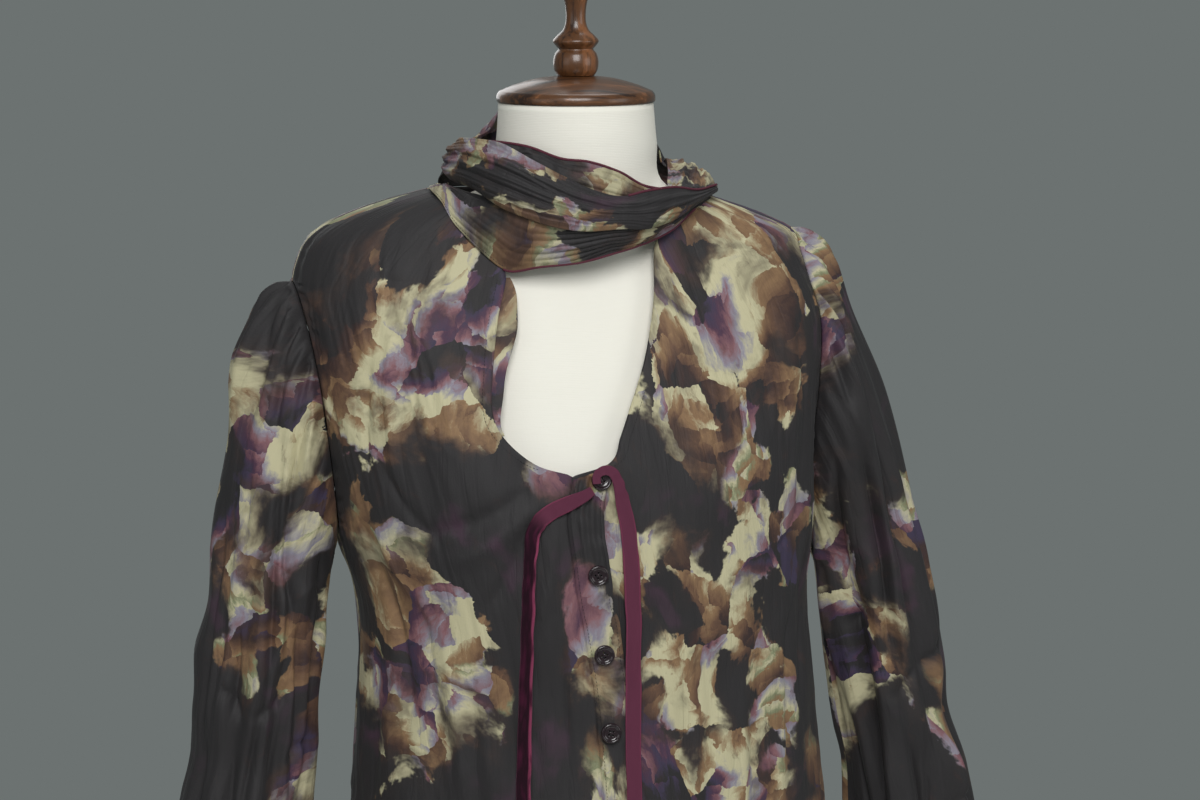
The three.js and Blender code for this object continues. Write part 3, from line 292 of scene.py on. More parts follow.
# Creases of the sleeves: x is the distance round from the outer side, forwards to the inner side at 150 and
# backwards to -150; y is the way down
SLEEVE_CREASES = {
    RIGHT: Table(
        "x1 y1 x2 y2 bow depth width",
        (6, 0, 10, 62, 2, -4.0, 3.2),
        (18, 0, 24, 88, -3, -4.6, 3.6),
        (29, 0, 37, 70, 2, 3.6, 3.6),
        (38, 0, 50, 104, -4, -4.8, 3.8),
        (50, 0, 62, 80, 3, -3.8, 3.4),
        (62, 4, 78, 96, 4, 3.2, 4),
        (-6, 0, -8, 76, 3, 3.4, 3.6),
        (-17, 0, -22, 90, -3, -4.4, 3.6),
        (-30, 0, -38, 70, 3, -3.6, 3.4),
        (70, 30, 96, 250, -8, -6.0, 4.5),
        (96, 220, 104, 430, 6, -5.4, 4.5),
        (56, 90, 74, 330, 7, -6.5, 4.5),
        (74, 300, 66, 520, -6, -5.0, 4.5),
        (44, 140, 52, 300, -5, 4.0, 5),
        (34, 110, 40, 360, 7, -4.6, 4.5),
        (22, 200, 30, 420, -6, 3.6, 5.5),
        (14, 150, 12, 340, 5, -3.6, 4),
        (88, 120, 86, 300, -4, 4.0, 5),
        (112, 120, 124, 330, 6, -5.5, 4.5),
        (126, 170, 118, 420, -7, 4.2, 6),
        (138, 110, 142, 380, 6, -5.0, 5),
        (104, 420, 92, 640, -5, -4.6, 5),
        (84, 400, 84, 600, 6, 3.8, 6),
        (48, 360, 56, 620, 7, -5.0, 4.8),
        (30, 400, 24, 640, -6, -4.4, 5),
        (8, 380, 14, 600, 5, 3.6, 6),
        (126, 430, 132, 640, 5, -4.8, 5),
        (26, 300, 58, 338, 4, -3.2, 4),
        (60, 330, 100, 300, -4, -3.0, 4),
        (98, 372, 130, 350, 4, -2.8, 4),
        (12, 430, 44, 462, 4, -2.6, 4),
        (-20, 110, -26, 330, 5, -4.6, 5),
        (-42, 60, -52, 300, -6, -4.8, 5),
        (-62, 120, -58, 380, 6, 3.8, 6),
        (-80, 60, -92, 300, -6, -5.0, 5),
        (-104, 130, -98, 400, 6, -4.6, 5),
        (-122, 100, -128, 330, 5, 3.8, 6),
        (-30, 330, -36, 620, -6, -4.6, 5),
        (-56, 360, -66, 620, 6, -4.8, 5),
        (-84, 330, -80, 640, 6, 4.0, 6),
        (-106, 400, -112, 640, -5, -4.8, 5),
        (-70, 300, -30, 340, 4, -2.8, 4),
    ),
    LEFT: Table(
        "x1 y1 x2 y2 bow depth width",
        (8, 0, 10, 58, 2, -3.8, 3.2),
        (20, 0, 26, 92, -3, -4.4, 3.6),
        (33, 0, 40, 66, 3, 3.4, 3.6),
        (44, 0, 56, 100, -4, -4.2, 3.8),
        (58, 2, 72, 84, 3, -3.4, 3.6),
        (-8, 0, -10, 70, 3, 3.2, 3.6),
        (-20, 0, -24, 84, -3, -4.2, 3.6),
        (-33, 0, -40, 66, 3, -3.4, 3.4),
        (92, 60, 118, 260, 8, -6.5, 5),
        (118, 240, 112, 470, -6, -6.0, 5),
        (76, 80, 90, 320, -7, -5.4, 4.5),
        (62, 130, 70, 360, 6, 4.0, 5.5),
        (48, 110, 54, 330, 6, -4.8, 4.5),
        (32, 150, 28, 380, -6, -4.2, 4.5),
        (16, 170, 20, 330, 4, 3.2, 5),
        (98, 300, 96, 560, 6, 4.2, 6),
        (84, 350, 76, 620, -6, -5.0, 5),
        (132, 120, 138, 360, 5, 4.4, 6),
        (140, 330, 128, 640, -6, -5.0, 5),
        (110, 470, 104, 640, 4, -4.4, 5),
        (60, 380, 62, 620, 5, -4.6, 5),
        (38, 370, 46, 640, -6, 4.0, 6),
        (18, 360, 14, 620, 5, -4.4, 5),
        (0, 400, 2, 620, -4, 3.4, 6),
        (22, 290, 56, 322, -4, -3.0, 4),
        (58, 316, 92, 346, -4, -3.0, 4),
        (14, 420, 50, 452, -4, -2.6, 4),
        (96, 250, 128, 282, -4, -2.8, 4),
        (-22, 100, -20, 320, 5, -4.4, 5),
        (-44, 70, -54, 310, -6, -4.6, 5),
        (-66, 110, -62, 360, 6, 3.8, 6),
        (-84, 70, -94, 310, -6, -4.8, 5),
        (-108, 120, -102, 380, 6, -4.4, 5),
        (-126, 90, -130, 340, 5, 3.8, 6),
        (-28, 340, -38, 620, -6, -4.4, 5),
        (-58, 350, -66, 610, 6, -4.6, 5),
        (-86, 340, -82, 640, 6, 3.8, 6),
        (-110, 390, -114, 640, -5, -4.6, 5),
        (-66, 310, -28, 350, 4, -2.6, 4),
    ),
}

# The scarf collar: the lower and the upper edge of each stretch at even stations, and its swell outwards
SCARF_COLUMNS = "lowX lowY lowZ highX highY highZ belly"
SCARF = {
    "scarf_lower": Table(
        SCARF_COLUMNS,
        (-103, 27, 1402, -91, 24, 1404, 0.5),
        (-112, -8, 1403, -97, -1, 1405, 1.5),
        (-108.5, -33.6, 1395.4, -92, -25, 1403, 3),
        (-101.4, -47.2, 1379.7, -84, -46, 1401, 4),
        (-82.2, -60.8, 1357.9, -70, -68, 1398, 4),
        (-66, -68, 1346.5, -58, -84, 1392, 4),
        (-45, -79, 1350, -42, -92.5, 1386, 3.5),
        (-16, -84, 1353, -18, -96.8, 1382.5, 3),
        (10, -83, 1359, 6, -97, 1382.5, 3),
        (35, -76, 1365, 30, -90.5, 1382.5, 2),
        (59, -63, 1373, 54, -75, 1386, 1.5),
        (80, -48, 1386, 76, -50, 1392, 1),
        (98, -29, 1392.5, 96, -26, 1396, 0.5),
    ),
    "scarf_inner": Table(
        SCARF_COLUMNS,
        (-77, -41, 1425, -80.4, -39.8, 1439.5, 0.5),
        (-66, -59, 1421, -66, -56, 1439, 3),
        (-50, -71, 1415, -49, -67, 1436, 3),
        (-29, -76, 1405, -28, -73, 1428, 3),
        (-7, -77, 1396, -6, -74, 1425, 3),
        (15, -75, 1391, 17, -72, 1417, 2.5),
        (34, -71, 1392, 35, -69, 1407, 1.5),
        (54, -67.5, 1394, 54, -69.5, 1403, 0.5),
    ),
    "scarf_upper": Table(
        SCARF_COLUMNS,
        (-94, 22, 1412, -76, 19, 1436, 5),
        (-97, -14, 1409, -90, -11, 1440, 7.5),
        (-88, -50, 1405, -82, -40, 1441, 8.5),
        (-74, -76, 1394, -69, -62, 1439, 10),
        (-56, -90, 1386, -50, -76, 1428, 9),
        (-35, -98, 1379.5, -30, -84, 1417, 8),
        (-13, -100, 1377, -7, -87, 1406, 7),
        (10, -99, 1378, 14, -87, 1401, 6),
        (33, -92, 1377, 35, -82, 1404, 5),
        (58, -76, 1382, 59, -69, 1405, 4),
        (82, -54, 1391, 83, -48, 1401, 2.5),
        (104, -27, 1397, 105, -22, 1402, 1),
    ),
    "scarf_back": Table(
        SCARF_COLUMNS,
        (97.8, 31.2, 1393.5, 76, 27, 1416, 3),
        (82, 43.2, 1394.3, 72, 37, 1431, 4),
        (48.5, 56, 1395.5, 38, 54, 1440, 7),
        (0.2, 60.9, 1396.9, -4, 59, 1450, 8),
        (-58.9, 54.2, 1398.3, -36, 54, 1459, 6),
        (-91.1, 41.6, 1400, -47, 44, 1457, 2.5),
        (-97, 32, 1406, -58, 33, 1443, 2.5),
        (-94, 22.5, 1412, -76, 19.5, 1436, 5),
    ),
    "scarf_shoulder": Table(
        SCARF_COLUMNS,
        (107, -17, 1400, 58, -62, 1401, 1),
        (111, -5, 1399, 63, -36, 1406, 5),
        (111, 8, 1399, 71, -9, 1413, 9),
        (107, 20, 1397, 75, 10, 1420, 8),
        (98.2, 30.4, 1393.7, 76.3, 26.2, 1416, 3),
    ),
}
ROLLED = Table(
    "across swell",
    (0, 0),
    (0.1, 0.6),
    (0.24, 1.0),
    (0.34, 0.8),
    (0.46, 1.15),
    (0.58, 0.75),
    (0.7, 0.95),
    (0.84, 0.35),
    (1, 0),
)
DRAPED = Table(
    "across swell",
    (0, 0),
    (0.15, 0.55),
    (0.3, 0.75),
    (0.45, 1.1),
    (0.6, 0.8),
    (0.8, 0.6),
    (1, 0),
)

# Pleats pressed along each stretch: how many, how deep, and how far they wander from their own lines
PLEATS = {
    "scarf_lower": {"section": DRAPED, "count": 8, "depth": 2.2, "wander": 1.1, "seed": 3},
    "scarf_inner": {"section": DRAPED, "count": 6, "depth": 1.6, "wander": 0.6, "seed": 5},
    "scarf_upper": {"section": ROLLED, "count": 11, "depth": 3.4, "wander": 1.7, "seed": 7},
    "scarf_back": {"section": ROLLED, "count": 8, "depth": 2.8, "wander": 1.2, "seed": 9},
    "scarf_shoulder": {"section": ROLLED, "count": 9, "depth": 3.4, "wander": 0.9, "seed": 11},
}

# Ribbon ties: the middle across and in height, clearance of the nearest edge, turn of the face, half width
RIBBONS = {
    "ribbon_right": Table(
        "x z off turn half",
        (-18.6, 1192, 6.9, 0, 3.2),
        (-25, 1188, 5.2, 0, 4.2),
        (-35.5, 1183.4, 2.9, 0, 5.4),
        (-46.5, 1178.4, 1.6, 0, 5.8),
        (-56, 1171, 0.8, 8, 5.6),
        (-61.5, 1161, 0.6, 26, 5.4),
        (-63.5, 1143, 0.6, 40, 5.6),
        (-64.5, 1109, 0.6, 44, 6),
        (-66, 1060, 0.6, 40, 6),
        (-68, 1006, 0.6, 36, 6),
        (-69, 950, 0.6, 28, 6),
        (-69.5, 900, 0.6, 20, 6),
        (-69.5, 856, 0.6, 14, 6),
    ),
    "ribbon_left": Table(
        "x z off turn half",
        (-15.4, 1196.4, 6.9, 0, 3),
        (-15.2, 1201.6, 6.9, 0, 3),
        (-12.2, 1204.8, 6.9, 0, 3.2),
        (-7, 1205.6, 6.9, 0, 3.5),
        (-2, 1202.6, 6.9, 0, 3.8),
        (1.2, 1194.6, 6.2, 0, 4.3),
        (3.8, 1183, 3.6, 0, 5),
        (8, 1162, 1.4, 0, 5.6),
        (10, 1138, 0.8, 4, 5.8),
        (11.4, 1104, 1.6, 0, 5.8),
        (11, 1068, 3.1, -4, 5.8),
        (10.6, 1030, 3.1, 4, 5.8),
        (10.8, 990, 3.1, 6, 5.6),
        (11.4, 940, 3.1, 10, 5.6),
        (12.9, 890, 3.1, 4, 5.6),
        (14.5, 842, 3.1, 0, 5.6),
    ),
}
RIBBON_CLOTH = 1.0
RIBBON_THICKNESS = 0.9

# The facing that rolls into view along the right of the opening
FACING_REACH = Table(
    "share reach",
    (0, 3),
    (0.15, 11),
    (0.34, 15),
    (0.6, 9.5),
    (0.78, 8),
    (0.95, 3),
    (1, 2),
)
FACING_UNDER = 5
FACING_SINK = 1.9
FACING_PARTS = (1.04, 1.8)

# Buttons down the lap
BUTTONS = Table(
    "z x",
    (1199, -11),
    (1131, -15),
    (1072, -10.5),
    (1014, -6),
    (957, -3.5),
    (900, -1),
    (843, 1),
)
BUTTON_OFF = 2.9

# The dress form
FORM = Table(
    "z right left front back cx cy square",
    (700, 158, 158, 104, 104, 0, 0, 2.1),
    (770, 164, 164, 106, 106, 0, -2, 2.1),
    (840, 160, 160, 102, 100, 0, -2, 2.1),
    (910, 143, 143, 94, 88, 0, -1, 2.1),
    (985, 122, 122, 88, 78, 0, 2, 2.1),
    (1060, 130, 130, 98, 82, 0, 3, 2.15),
    (1120, 144, 144, 112, 88, 0, 3, 2.2),
    (1165, 148, 148, 118, 90, 0, 3, 2.25),
    (1210, 150, 150, 113, 91, 0, 5, 2.3),
    (1265, 156, 156, 101, 86, -1, 9, 2.35),
    (1310, 166, 166, 87, 77, -2, 13, 2.35),
    (1340, 177, 177, 75, 66, -3, 15, 2.3),
    (1354, 177, 177, 68, 60, -3, 15, 2.2),
    (1366, 171, 171, 63, 55, -3, 13, 2.15),
    (1380, 138, 138, 57, 48, -1, 8, 2.1),
    (1391, 101, 101, 55, 46, 1, 3, 2.0),
    (1404, 66, 66, 58, 53, 0, -7, 2.0),
    (1436, 60, 60, 59, 57, -1, -12, 2.0),
    (1465, 57.5, 57.5, 57.5, 57.5, -2, -15, 2.0),
)
NECK_CENTRE = (-2, -15)

# Turned wood, radius and height pairs from the bottom up
CAP = ((57.5, 0), (59, 1.5), (59, 5.5), (57, 8), (46, 12.5), (30, 17), (15, 19))
FINIAL = (
    (13.5, 0),
    (16, 4),
    (16.8, 10),
    (15.5, 16),
    (13, 19.5),
    (14.5, 21.5),
    (17, 25.5),
    (14, 29.5),
    (9.5, 34),
    (7.4, 41),
    (8, 52),
    (10.8, 63),
    (12.4, 72),
    (10.8, 81),
    (6, 87),
)
BASE = ((200, 0), (205, 6), (205, 16), (198, 24), (120, 33), (40, 44), (30, 58))
CAP_Z = 1465.3
FINIAL_Z = 1484.6
POLE_RADIUS = 16
POLE_Z = (58.3, 699.7)


def fade(value, start, full):
    """0 below start, 1 above full, and soft between."""
    share = np.clip((value - start) / (full - start), 0, 1)
    return share * share * (3 - 2 * share)


def turn_between(a, b):
    """Distance round a circle in degrees, from -180 to 180."""
    return (a - b + 180) % 360 - 180


UNEVEN_CELLS = 64


class Unevenness:
    """Soft random heights over a plane, the same at every run: how wide and long they are, and how high."""

    def __init__(self, seed, across=1, down=1, depth=1):
        self.grid = np.random.default_rng(seed).uniform(-1, 1, (UNEVEN_CELLS, UNEVEN_CELLS))
        self.across = across
        self.down = down
        self.depth = depth

    def __call__(self, x, y):
        x, y = np.broadcast_arrays(np.asarray(x, float) / self.across, np.asarray(y, float) / self.down)
        i, j = np.floor(x).astype(int), np.floor(y).astype(int)
        s, t = fade(x - i, 0, 1), fade(y - j, 0, 1)

        def corner(column, row):
            return self.grid[column % UNEVEN_CELLS, row % UNEVEN_CELLS]

        near = corner(i, j) * (1 - t) + corner(i, j + 1) * t
        far = corner(i + 1, j) * (1 - t) + corner(i + 1, j + 1) * t
        return self.depth * (near * (1 - s) + far * s)


def creased(table, x, y):
    """Height that a table of creases gives the cloth at its places x, y."""
    height = np.zeros(np.broadcast(x, y).shape)
    for x1, y1, x2, y2, bow, depth, width in table.rows:
        length = math.hypot(x2 - x1, y2 - y1)
        along = ((x - x1) * (x2 - x1) + (y - y1) * (y2 - y1)) / length**2
        aside = ((x - x1) * (y2 - y1) - (y - y1) * (x2 - x1)) / length
        aside = aside - bow * 4 * along * (1 - along)
        ends = fade(along, -0.02, 0.3) * (1 - fade(along, 0.68, 1.05))
        height = height + depth * ends * np.exp(-(np.abs(aside / width) ** 1.4))
    return height


def crinkle(unevenness, x, y):
    """Long narrow crinkles that run down the cloth, from -1 to 1."""
    return 1 - 2 * np.abs(unevenness(x, y)) ** 0.7


# How much deeper the tables' creases are laid, and the long crinkles and soft swells between them
CREASE_SHARE = 1.5
BODY_CRINKLE = Unevenness(21, across=9, down=50)
BODY_CRINKLE_DEPTH = 0.6
BODY_CRINKLE_SLANT = 0.12
BODY_SWELL = Unevenness(22, across=26, down=52, depth=1.9)


def section_point(table, z, angle, out=0.0):
    """Points of a body's sections: angle 0 is the front, a quarter turn the wearer's left."""
    s, c = np.sin(angle), np.cos(angle)
    power = 2 / table.read("square", z)
    half = np.where(s < 0, table.read("right", z), table.read("left", z)) + out
    depth = np.where(c > 0, table.read("front", z), table.read("back", z)) + out
    x = table.read("cx", z) + half * np.sign(s) * np.abs(s) ** power
    y = table.read("cy", z) - depth * np.sign(c) * np.abs(c) ** power
    return np.stack(np.broadcast_arrays(x, y, z), axis=-1).astype(float)


def body_fold(z, angle):
    """How far the blouse's broad folds lift it."""
    degrees = np.degrees(angle)
    height = np.zeros(np.broadcast(z, angle).shape)
    for at, top, foot, depth, width, slant in BODY_FOLDS.rows:
        down = fade(top - z, 0, top - foot)
        away = turn_between(degrees, at + slant * down) / width
        height = height + depth * down * np.exp(-(away**2))
    return height


def body_relief(z, angle):
    """How far creases and crinkles lift the blouse's cloth."""
    x = np.asarray(angle) * SEAM_RADIUS
    height = CREASE_SHARE * creased(BODY_CREASES, x, z)
    height = height + BODY_CRINKLE_DEPTH * crinkle(BODY_CRINKLE, x + BODY_CRINKLE_SLANT * z, z)
    return height + BODY_SWELL(x, z)


def body_point(z, angle, out=0.0, relief=0.0):
    """Points of the blouse's body; relief is the share of its creases that the place takes."""
    lift = body_fold(z, angle) + out
    if np.any(relief):
        lift = lift + relief * body_relief(z, angle)
    return section_point(BODY, z, angle, lift)


# A short step to either side, in radians or shares of a length, over which a direction is read
SHORT_STEP = 0.02


def unit(vectors):
    """Vectors of length 1."""
    return vectors / np.maximum(np.linalg.norm(vectors, axis=-1, keepdims=True), 1e-12)


def body_normal(z, angle):
    """The direction away from the blouse's body."""
    across = body_point(z, angle + SHORT_STEP) - body_point(z, angle - SHORT_STEP)
    up = body_point(np.minimum(z + 2, SHOULDER_TOP[RIGHT]), angle) - body_point(z - 2, angle)
    return unit(np.cross(across, up))


def front_angle(z, x):
    """The angle of the section's point at a place across, on the front."""
    away = x - BODY.read("cx", z)
    half = np.where(away < 0, BODY.read("right", z), BODY.read("left", z))
    share = np.minimum(np.abs(away) / half, 1) ** (BODY.read("square", z) / 2)
    return np.sign(away) * np.arcsin(share)


def on_front(x, z, out):
    """Points of the blouse's front at places across and in height, moved out from the cloth."""
    angle = front_angle(z, x)
    out = np.broadcast_to(np.asarray(out, float), angle.shape)
    return body_point(z, angle) + body_normal(z, angle) * out[..., None]


def armhole_spot(side, step, face):
    """Height and angle of an armhole's points, from its top down its front or its back."""
    hole = ARMHOLES[side]
    turn = math.pi * step / ARMHOLE_ROWS
    z = hole["bottom"] + (hole["top"] - hole["bottom"]) * (1 + np.cos(turn)) / 2
    middle = BODY.read("cy", z)
    reach = middle - hole["front"] if face == "front" else hole["back"] - middle
    share = np.maximum(reach, 0) * np.sin(turn) / BODY.read(face, z)
    lean = np.arccos(np.minimum(np.abs(share) ** (BODY.read("square", z) / 2), 1))
    return z, side * (lean if face == "front" else math.pi - lean)


def seam_level(side, row, face):
    """Height and angle of a panel's side edge at rows counted from the neck end."""
    hole = ARMHOLES[side]
    shoulder = SHOULDER_TOP[side] + (hole["top"] - SHOULDER_TOP[side]) * row / SHOULDER_ROWS
    armhole_step = np.clip(row - SHOULDER_ROWS, 0, ARMHOLE_ROWS)
    z, angle = armhole_spot(side, armhole_step, face)
    past = (row - SHOULDER_ROWS - ARMHOLE_ROWS) / SIDE_ROWS
    side_z = hole["bottom"] + (HEM_Z - hole["bottom"]) * past
    z = np.where(row < SHOULDER_ROWS, shoulder, np.where(past > 0, side_z, z))
    angle = np.where((row < SHOULDER_ROWS) | (past > 0), side * QUARTER, angle)
    return z, angle


def set_back(angle, towards):
    """Half a seam gap back from the line that two panels share."""
    return angle + np.sign(towards - angle) * SEAM_GAP / 2 / SEAM_RADIUS


def front_edge(side, row):
    """Place across and height of a front's inner edge: the neckline, the opening and the lap."""
    name = "right" if side == RIGHT else "left"
    past = np.minimum(row, FOOT_ROW) - SHOULDER_ROWS
    part = np.where(past < 0, row / SHOULDER_ROWS, 1 + past / (FOOT_ROW - SHOULDER_ROWS))
    neck_x, neck_z = NECK_EDGES.read(name + "X", part), NECK_EDGES.read(name + "Z", part)
    foot_z = NECK_EDGES.columns[name + "Z"][-1]
    below = np.clip((row - FOOT_ROW) / (PANEL_ROWS - FOOT_ROW), 0, 1)
    lap_z = foot_z + (HEM_Z - foot_z) * below
    lap_x = LAP_EDGE.read("x", lap_z) - (BAND_WIDTH + SEAM_GAP if side == RIGHT else UNDERLAP)
    onto_lap = np.clip(row - FOOT_ROW, 0, 1)
    return neck_x + (lap_x - neck_x) * onto_lap, np.where(row <= FOOT_ROW, neck_z, lap_z)


SEAM_PUCKER = Unevenness(44, depth=1.1)
PUCKERS_A_ROW = 3.4
BACK_WIDER = 1.8


def seam_pucker(row, share, lane):
    """Small puckers that the seams draw up in a panel, at a share of its width from them."""
    near = fade(share, 0.0, 0.04) * (1 - fade(share, 0.05, 0.14))
    return near * SEAM_PUCKER(row * PUCKERS_A_ROW, lane)


def front_place(side):
    """Where a front panel's cloth lies: u runs from its inner edge to its side seam, v down."""

    def place(u, v, out=0.0):
        row = v * PANEL_ROWS
        seam_z, seam_angle = seam_level(side, row, "front")
        edge_x, edge_z = front_edge(side, row)
        start = front_angle(edge_z, edge_x)
        end = set_back(seam_angle, start)
        z = edge_z + (seam_z - edge_z) * u
        angle = start + (end - start) * u
        calm = fade(u, 0.0, 0.06) * (1 - fade(u, 0.95, 1.0)) * fade(v, 0, 0.06)
        return body_point(z, angle, out + seam_pucker(row, 1 - u, side + 2), calm)

    return place


def back_place(u, v, out=0.0):
    """Where the back's cloth lies: u runs from the wearer's left to the right, v from the neck down."""
    row = v * PANEL_ROWS
    left_z, left_angle = seam_level(LEFT, row, "back")
    right_z, right_angle = seam_level(RIGHT, row, "back")
    start = set_back(left_angle, math.pi)
    end = set_back(right_angle + 2 * math.pi, math.pi)
    z = left_z + (right_z - left_z) * u
    angle = start + (end - start) * u
    calm = fade(u, 0.0, 0.03) * (1 - fade(u, 0.97, 1.0)) * fade(v, 0, 0.05)
    pucker = seam_pucker(row, u * BACK_WIDER, 7) + seam_pucker(row, (1 - u) * BACK_WIDER, 9)
    return body_point(z, angle, out + pucker, calm)


LAP_WAVE = Unevenness(41)
LAP_WAVER = {"depth": 1.3, "length": 15}
LAP_PUCKER = {"depth": 0.7, "length": 8}
LAP_GATHERS = {"depth": 1.1, "turns": 21, "foot": 1090, "top": 1180}


def lap_place(u, v, out=0.0):
    """Where the lap band lies: u runs to its free edge on the wearer's left, v down."""
    top = LAP_TOP[0] + (LAP_TOP[1] - LAP_TOP[0]) * u
    z = top + (HEM_Z - top) * v
    x = LAP_EDGE.read("x", z) - (BAND_WIDTH + SEAM_GAP) * (1 - u)
    x = x + LAP_WAVER["depth"] * u * LAP_WAVE(z / LAP_WAVER["length"], 0.5)
    pucker = LAP_PUCKER["depth"] * LAP_WAVE(z / LAP_PUCKER["length"], u * 2.5) * fade(u, 0.02, 0.2)
    gather = LAP_GATHERS["depth"] * np.sin(u * LAP_GATHERS["turns"])
    gather = gather * fade(z, LAP_GATHERS["foot"], LAP_GATHERS["top"])
    gather = gather * fade(u, 0, 0.2) * (1 - fade(u, 0.85, 1))
    lift = LAP_OFF[0] * fade(u, 0.0, 0.16) + (LAP_OFF[1] - LAP_OFF[0]) * u
    return on_front(x, z, lift + pucker + gather + out)


FACING_WAVE = Unevenness(43, depth=0.7)
FACING_RIPPLE = 16


def facing_place(u, v, out=0.0):
    """Where the facing shows past the right edge of the opening."""
    part = FACING_PARTS[0] + (FACING_PARTS[1] - FACING_PARTS[0]) * v
    x, z = NECK_EDGES.read("rightX", part), NECK_EDGES.read("rightZ", part)
    reach = FACING_REACH.read("reach", v)
    x = x - FACING_UNDER + (reach + FACING_UNDER) * u
    angle = front_angle(z, x)
    away = body_normal(z, angle)
    ripple = FACING_WAVE(z / FACING_RIPPLE, u * 2) * fade(u, 0.3, 0.6)
    sink = np.broadcast_to(-FACING_SINK + ripple + out, angle.shape)
    return body_point(z, angle) + away * sink[..., None]


def sleeve_fold(side, degrees, length):
    """How far a sleeve's long folds lift it."""
    height = np.zeros(np.broadcast(degrees, length).shape)
    for at, start, end, depth, width, slant in SLEEVE_FOLDS[side].rows:
        opened = fade(length, start, start + 0.16) * (1 - fade(length, end - 0.15, end))
        away = turn_between(degrees, at + slant * length) / width
        height = height + depth * opened * np.exp(-(away**2))
    return height


SLEEVE_CRINKLE = {side: Unevenness(seed, across=10, down=80) for side, seed in ((RIGHT, 31), (LEFT, 32))}
SLEEVE_SWELL = {side: Unevenness(seed, across=36, down=46) for side, seed in ((RIGHT, 33), (LEFT, 34))}
SLEEVE_LEAVE = {"under": 0.25, "fore": 0.35, "lean": 0.4}
SLEEVE_LENGTH = 640
SLEEVE_ARC_A_DEGREE = 0.85
SLEEVE_CRINKLE_SLANT = 0.05
SLEEVE_SWELL_DEPTH = {"inner": 1.6, "more_outside": 4.2}
GATHERS = {"depth": 2.4, "count": 30, "middle": 26, "spread": 66, "waver": 0.9, "waver_count": 7}


def sleeve_relief(side, degrees, length):
    """How far creases, crinkles and the head's gathers lift a sleeve's cloth."""
    x = turn_between(degrees, 0) * SLEEVE_ARC_A_DEGREE
    y = length * SLEEVE_LENGTH
    turn = np.radians(degrees)
    outer = (1 + np.cos(turn)) / 2
    height = CREASE_SHARE * creased(SLEEVE_CREASES[side], x, y)
    height = height + crinkle(SLEEVE_CRINKLE[side], x + SLEEVE_CRINKLE_SLANT * y, y)
    swell = SLEEVE_SWELL_DEPTH["inner"] + SLEEVE_SWELL_DEPTH["more_outside"] * outer
    height = height + swell * SLEEVE_SWELL[side](x, y)
    gathers = np.cos(turn * GATHERS["count"] + GATHERS["waver"] * np.sin(turn * GATHERS["waver_count"]))
    top = np.exp(-((turn_between(degrees, GATHERS["middle"]) / GATHERS["spread"]) ** 2))
    drawn = fade(length, 0.0, 0.02) * (1 - fade(length, 0.04, 0.2))
    return height + GATHERS["depth"] * gathers * top * drawn


def sleeve_ring(side, z, turn, out=0.0):
    """Points of the sleeve's tube below its head."""
    table = SLEEVES[side]
    x = side * (table.read("across", z) + (table.read("half", z) + out) * np.cos(turn))
    y = table.read("cy", z) - (table.read("deep", z) + out) * np.sin(turn)
    return np.stack(np.broadcast_arrays(x, y, z), axis=-1)


def sleeve_start(side, turn):
    """Where the sleeve leaves its armhole, a seam gap inside the hole's edge."""
    step = ARMHOLE_ROWS * turn / math.pi
    front = armhole_spot(side, np.minimum(step, ARMHOLE_ROWS), "front")
    back = armhole_spot(side, 2 * ARMHOLE_ROWS - np.maximum(step, ARMHOLE_ROWS), "back")
    on_the_front = step <= ARMHOLE_ROWS
    point = body_point(np.where(on_the_front, front[0], back[0]), np.where(on_the_front, front[1], back[1]))
    hole = ARMHOLES[side]
    middle = np.empty_like(point)
    middle[..., 0] = point[..., 0]
    middle[..., 1] = (hole["front"] + hole["back"]) / 2
    middle[..., 2] = (hole["top"] + hole["bottom"]) / 2
    return point + unit(middle - point) * SEAM_GAP + np.array([side * SEAM_GAP, 0, 0])


def sleeve_place(side):
    """Where a sleeve's cloth lies: u runs round the tube from the underarm, v down from the armhole."""

    def place(u, v, out=0.0):
        turn = (2 * math.pi * (u if side == RIGHT else 1 - u) + math.pi) % (2 * math.pi)
        degrees = np.degrees(turn)
        lift = sleeve_fold(side, degrees, v) + sleeve_relief(side, degrees, v) * fade(v, 0, 0.03) + out
        z = CAP_FOOT_Z + (HEM_Z - CAP_FOOT_Z) * (v - CAP_SHARE) / (1 - CAP_SHARE)
        tube = sleeve_ring(side, np.minimum(z, CAP_FOOT_Z), turn, lift)
        head = SLEEVE_HEADS[side]
        s = np.minimum(v / CAP_SHARE, 1)[..., None]
        start = sleeve_start(side, turn)
        end = sleeve_ring(side, np.full_like(turn, CAP_FOOT_Z), turn)
        span = np.linalg.norm(end - start, axis=-1, keepdims=True)
        top = ((1 + np.cos(turn)) / 2)[..., None]
        under = SLEEVE_LEAVE["under"]
        sideways = side * (under + (head["reach"] - under) * top)
        forwards = -SLEEVE_LEAVE["fore"] * np.sin(turn)[..., None]
        upwards = -1 + (head["lift"] + 1) * top
        leave = np.concatenate([sideways, forwards, upwards], axis=-1) * span
        arrive = np.array([side * head["flare"], 0, -1]) * span
        cap = (
            start * (2 * s**3 - 3 * s**2 + 1)
            + leave * (s**3 - 2 * s**2 + s)
            + end * (3 * s**2 - 2 * s**3)
            + arrive * (s**3 - s**2)
        )
        lean = SLEEVE_LEAVE["lean"] * top * (1 - s)
        outward = np.concatenate([side * np.cos(turn)[..., None], -np.sin(turn)[..., None], lean], axis=-1)
        cap = cap + unit(outward) * lift[..., None]
        return np.where((v >= CAP_SHARE)[..., None], tube, cap)

    return place


# Waves along and across a stretch of the scarf: of its pleats' lines, of their depth and of its bunching
SCARF_WANDER = (6, 1.5)
SCARF_UNEVEN = (5, 5)
SCARF_BUNCH = (26, 3)
SCARF_BUNCH_DEPTH = 1.2
PLEATS_A_WIDTH = 14


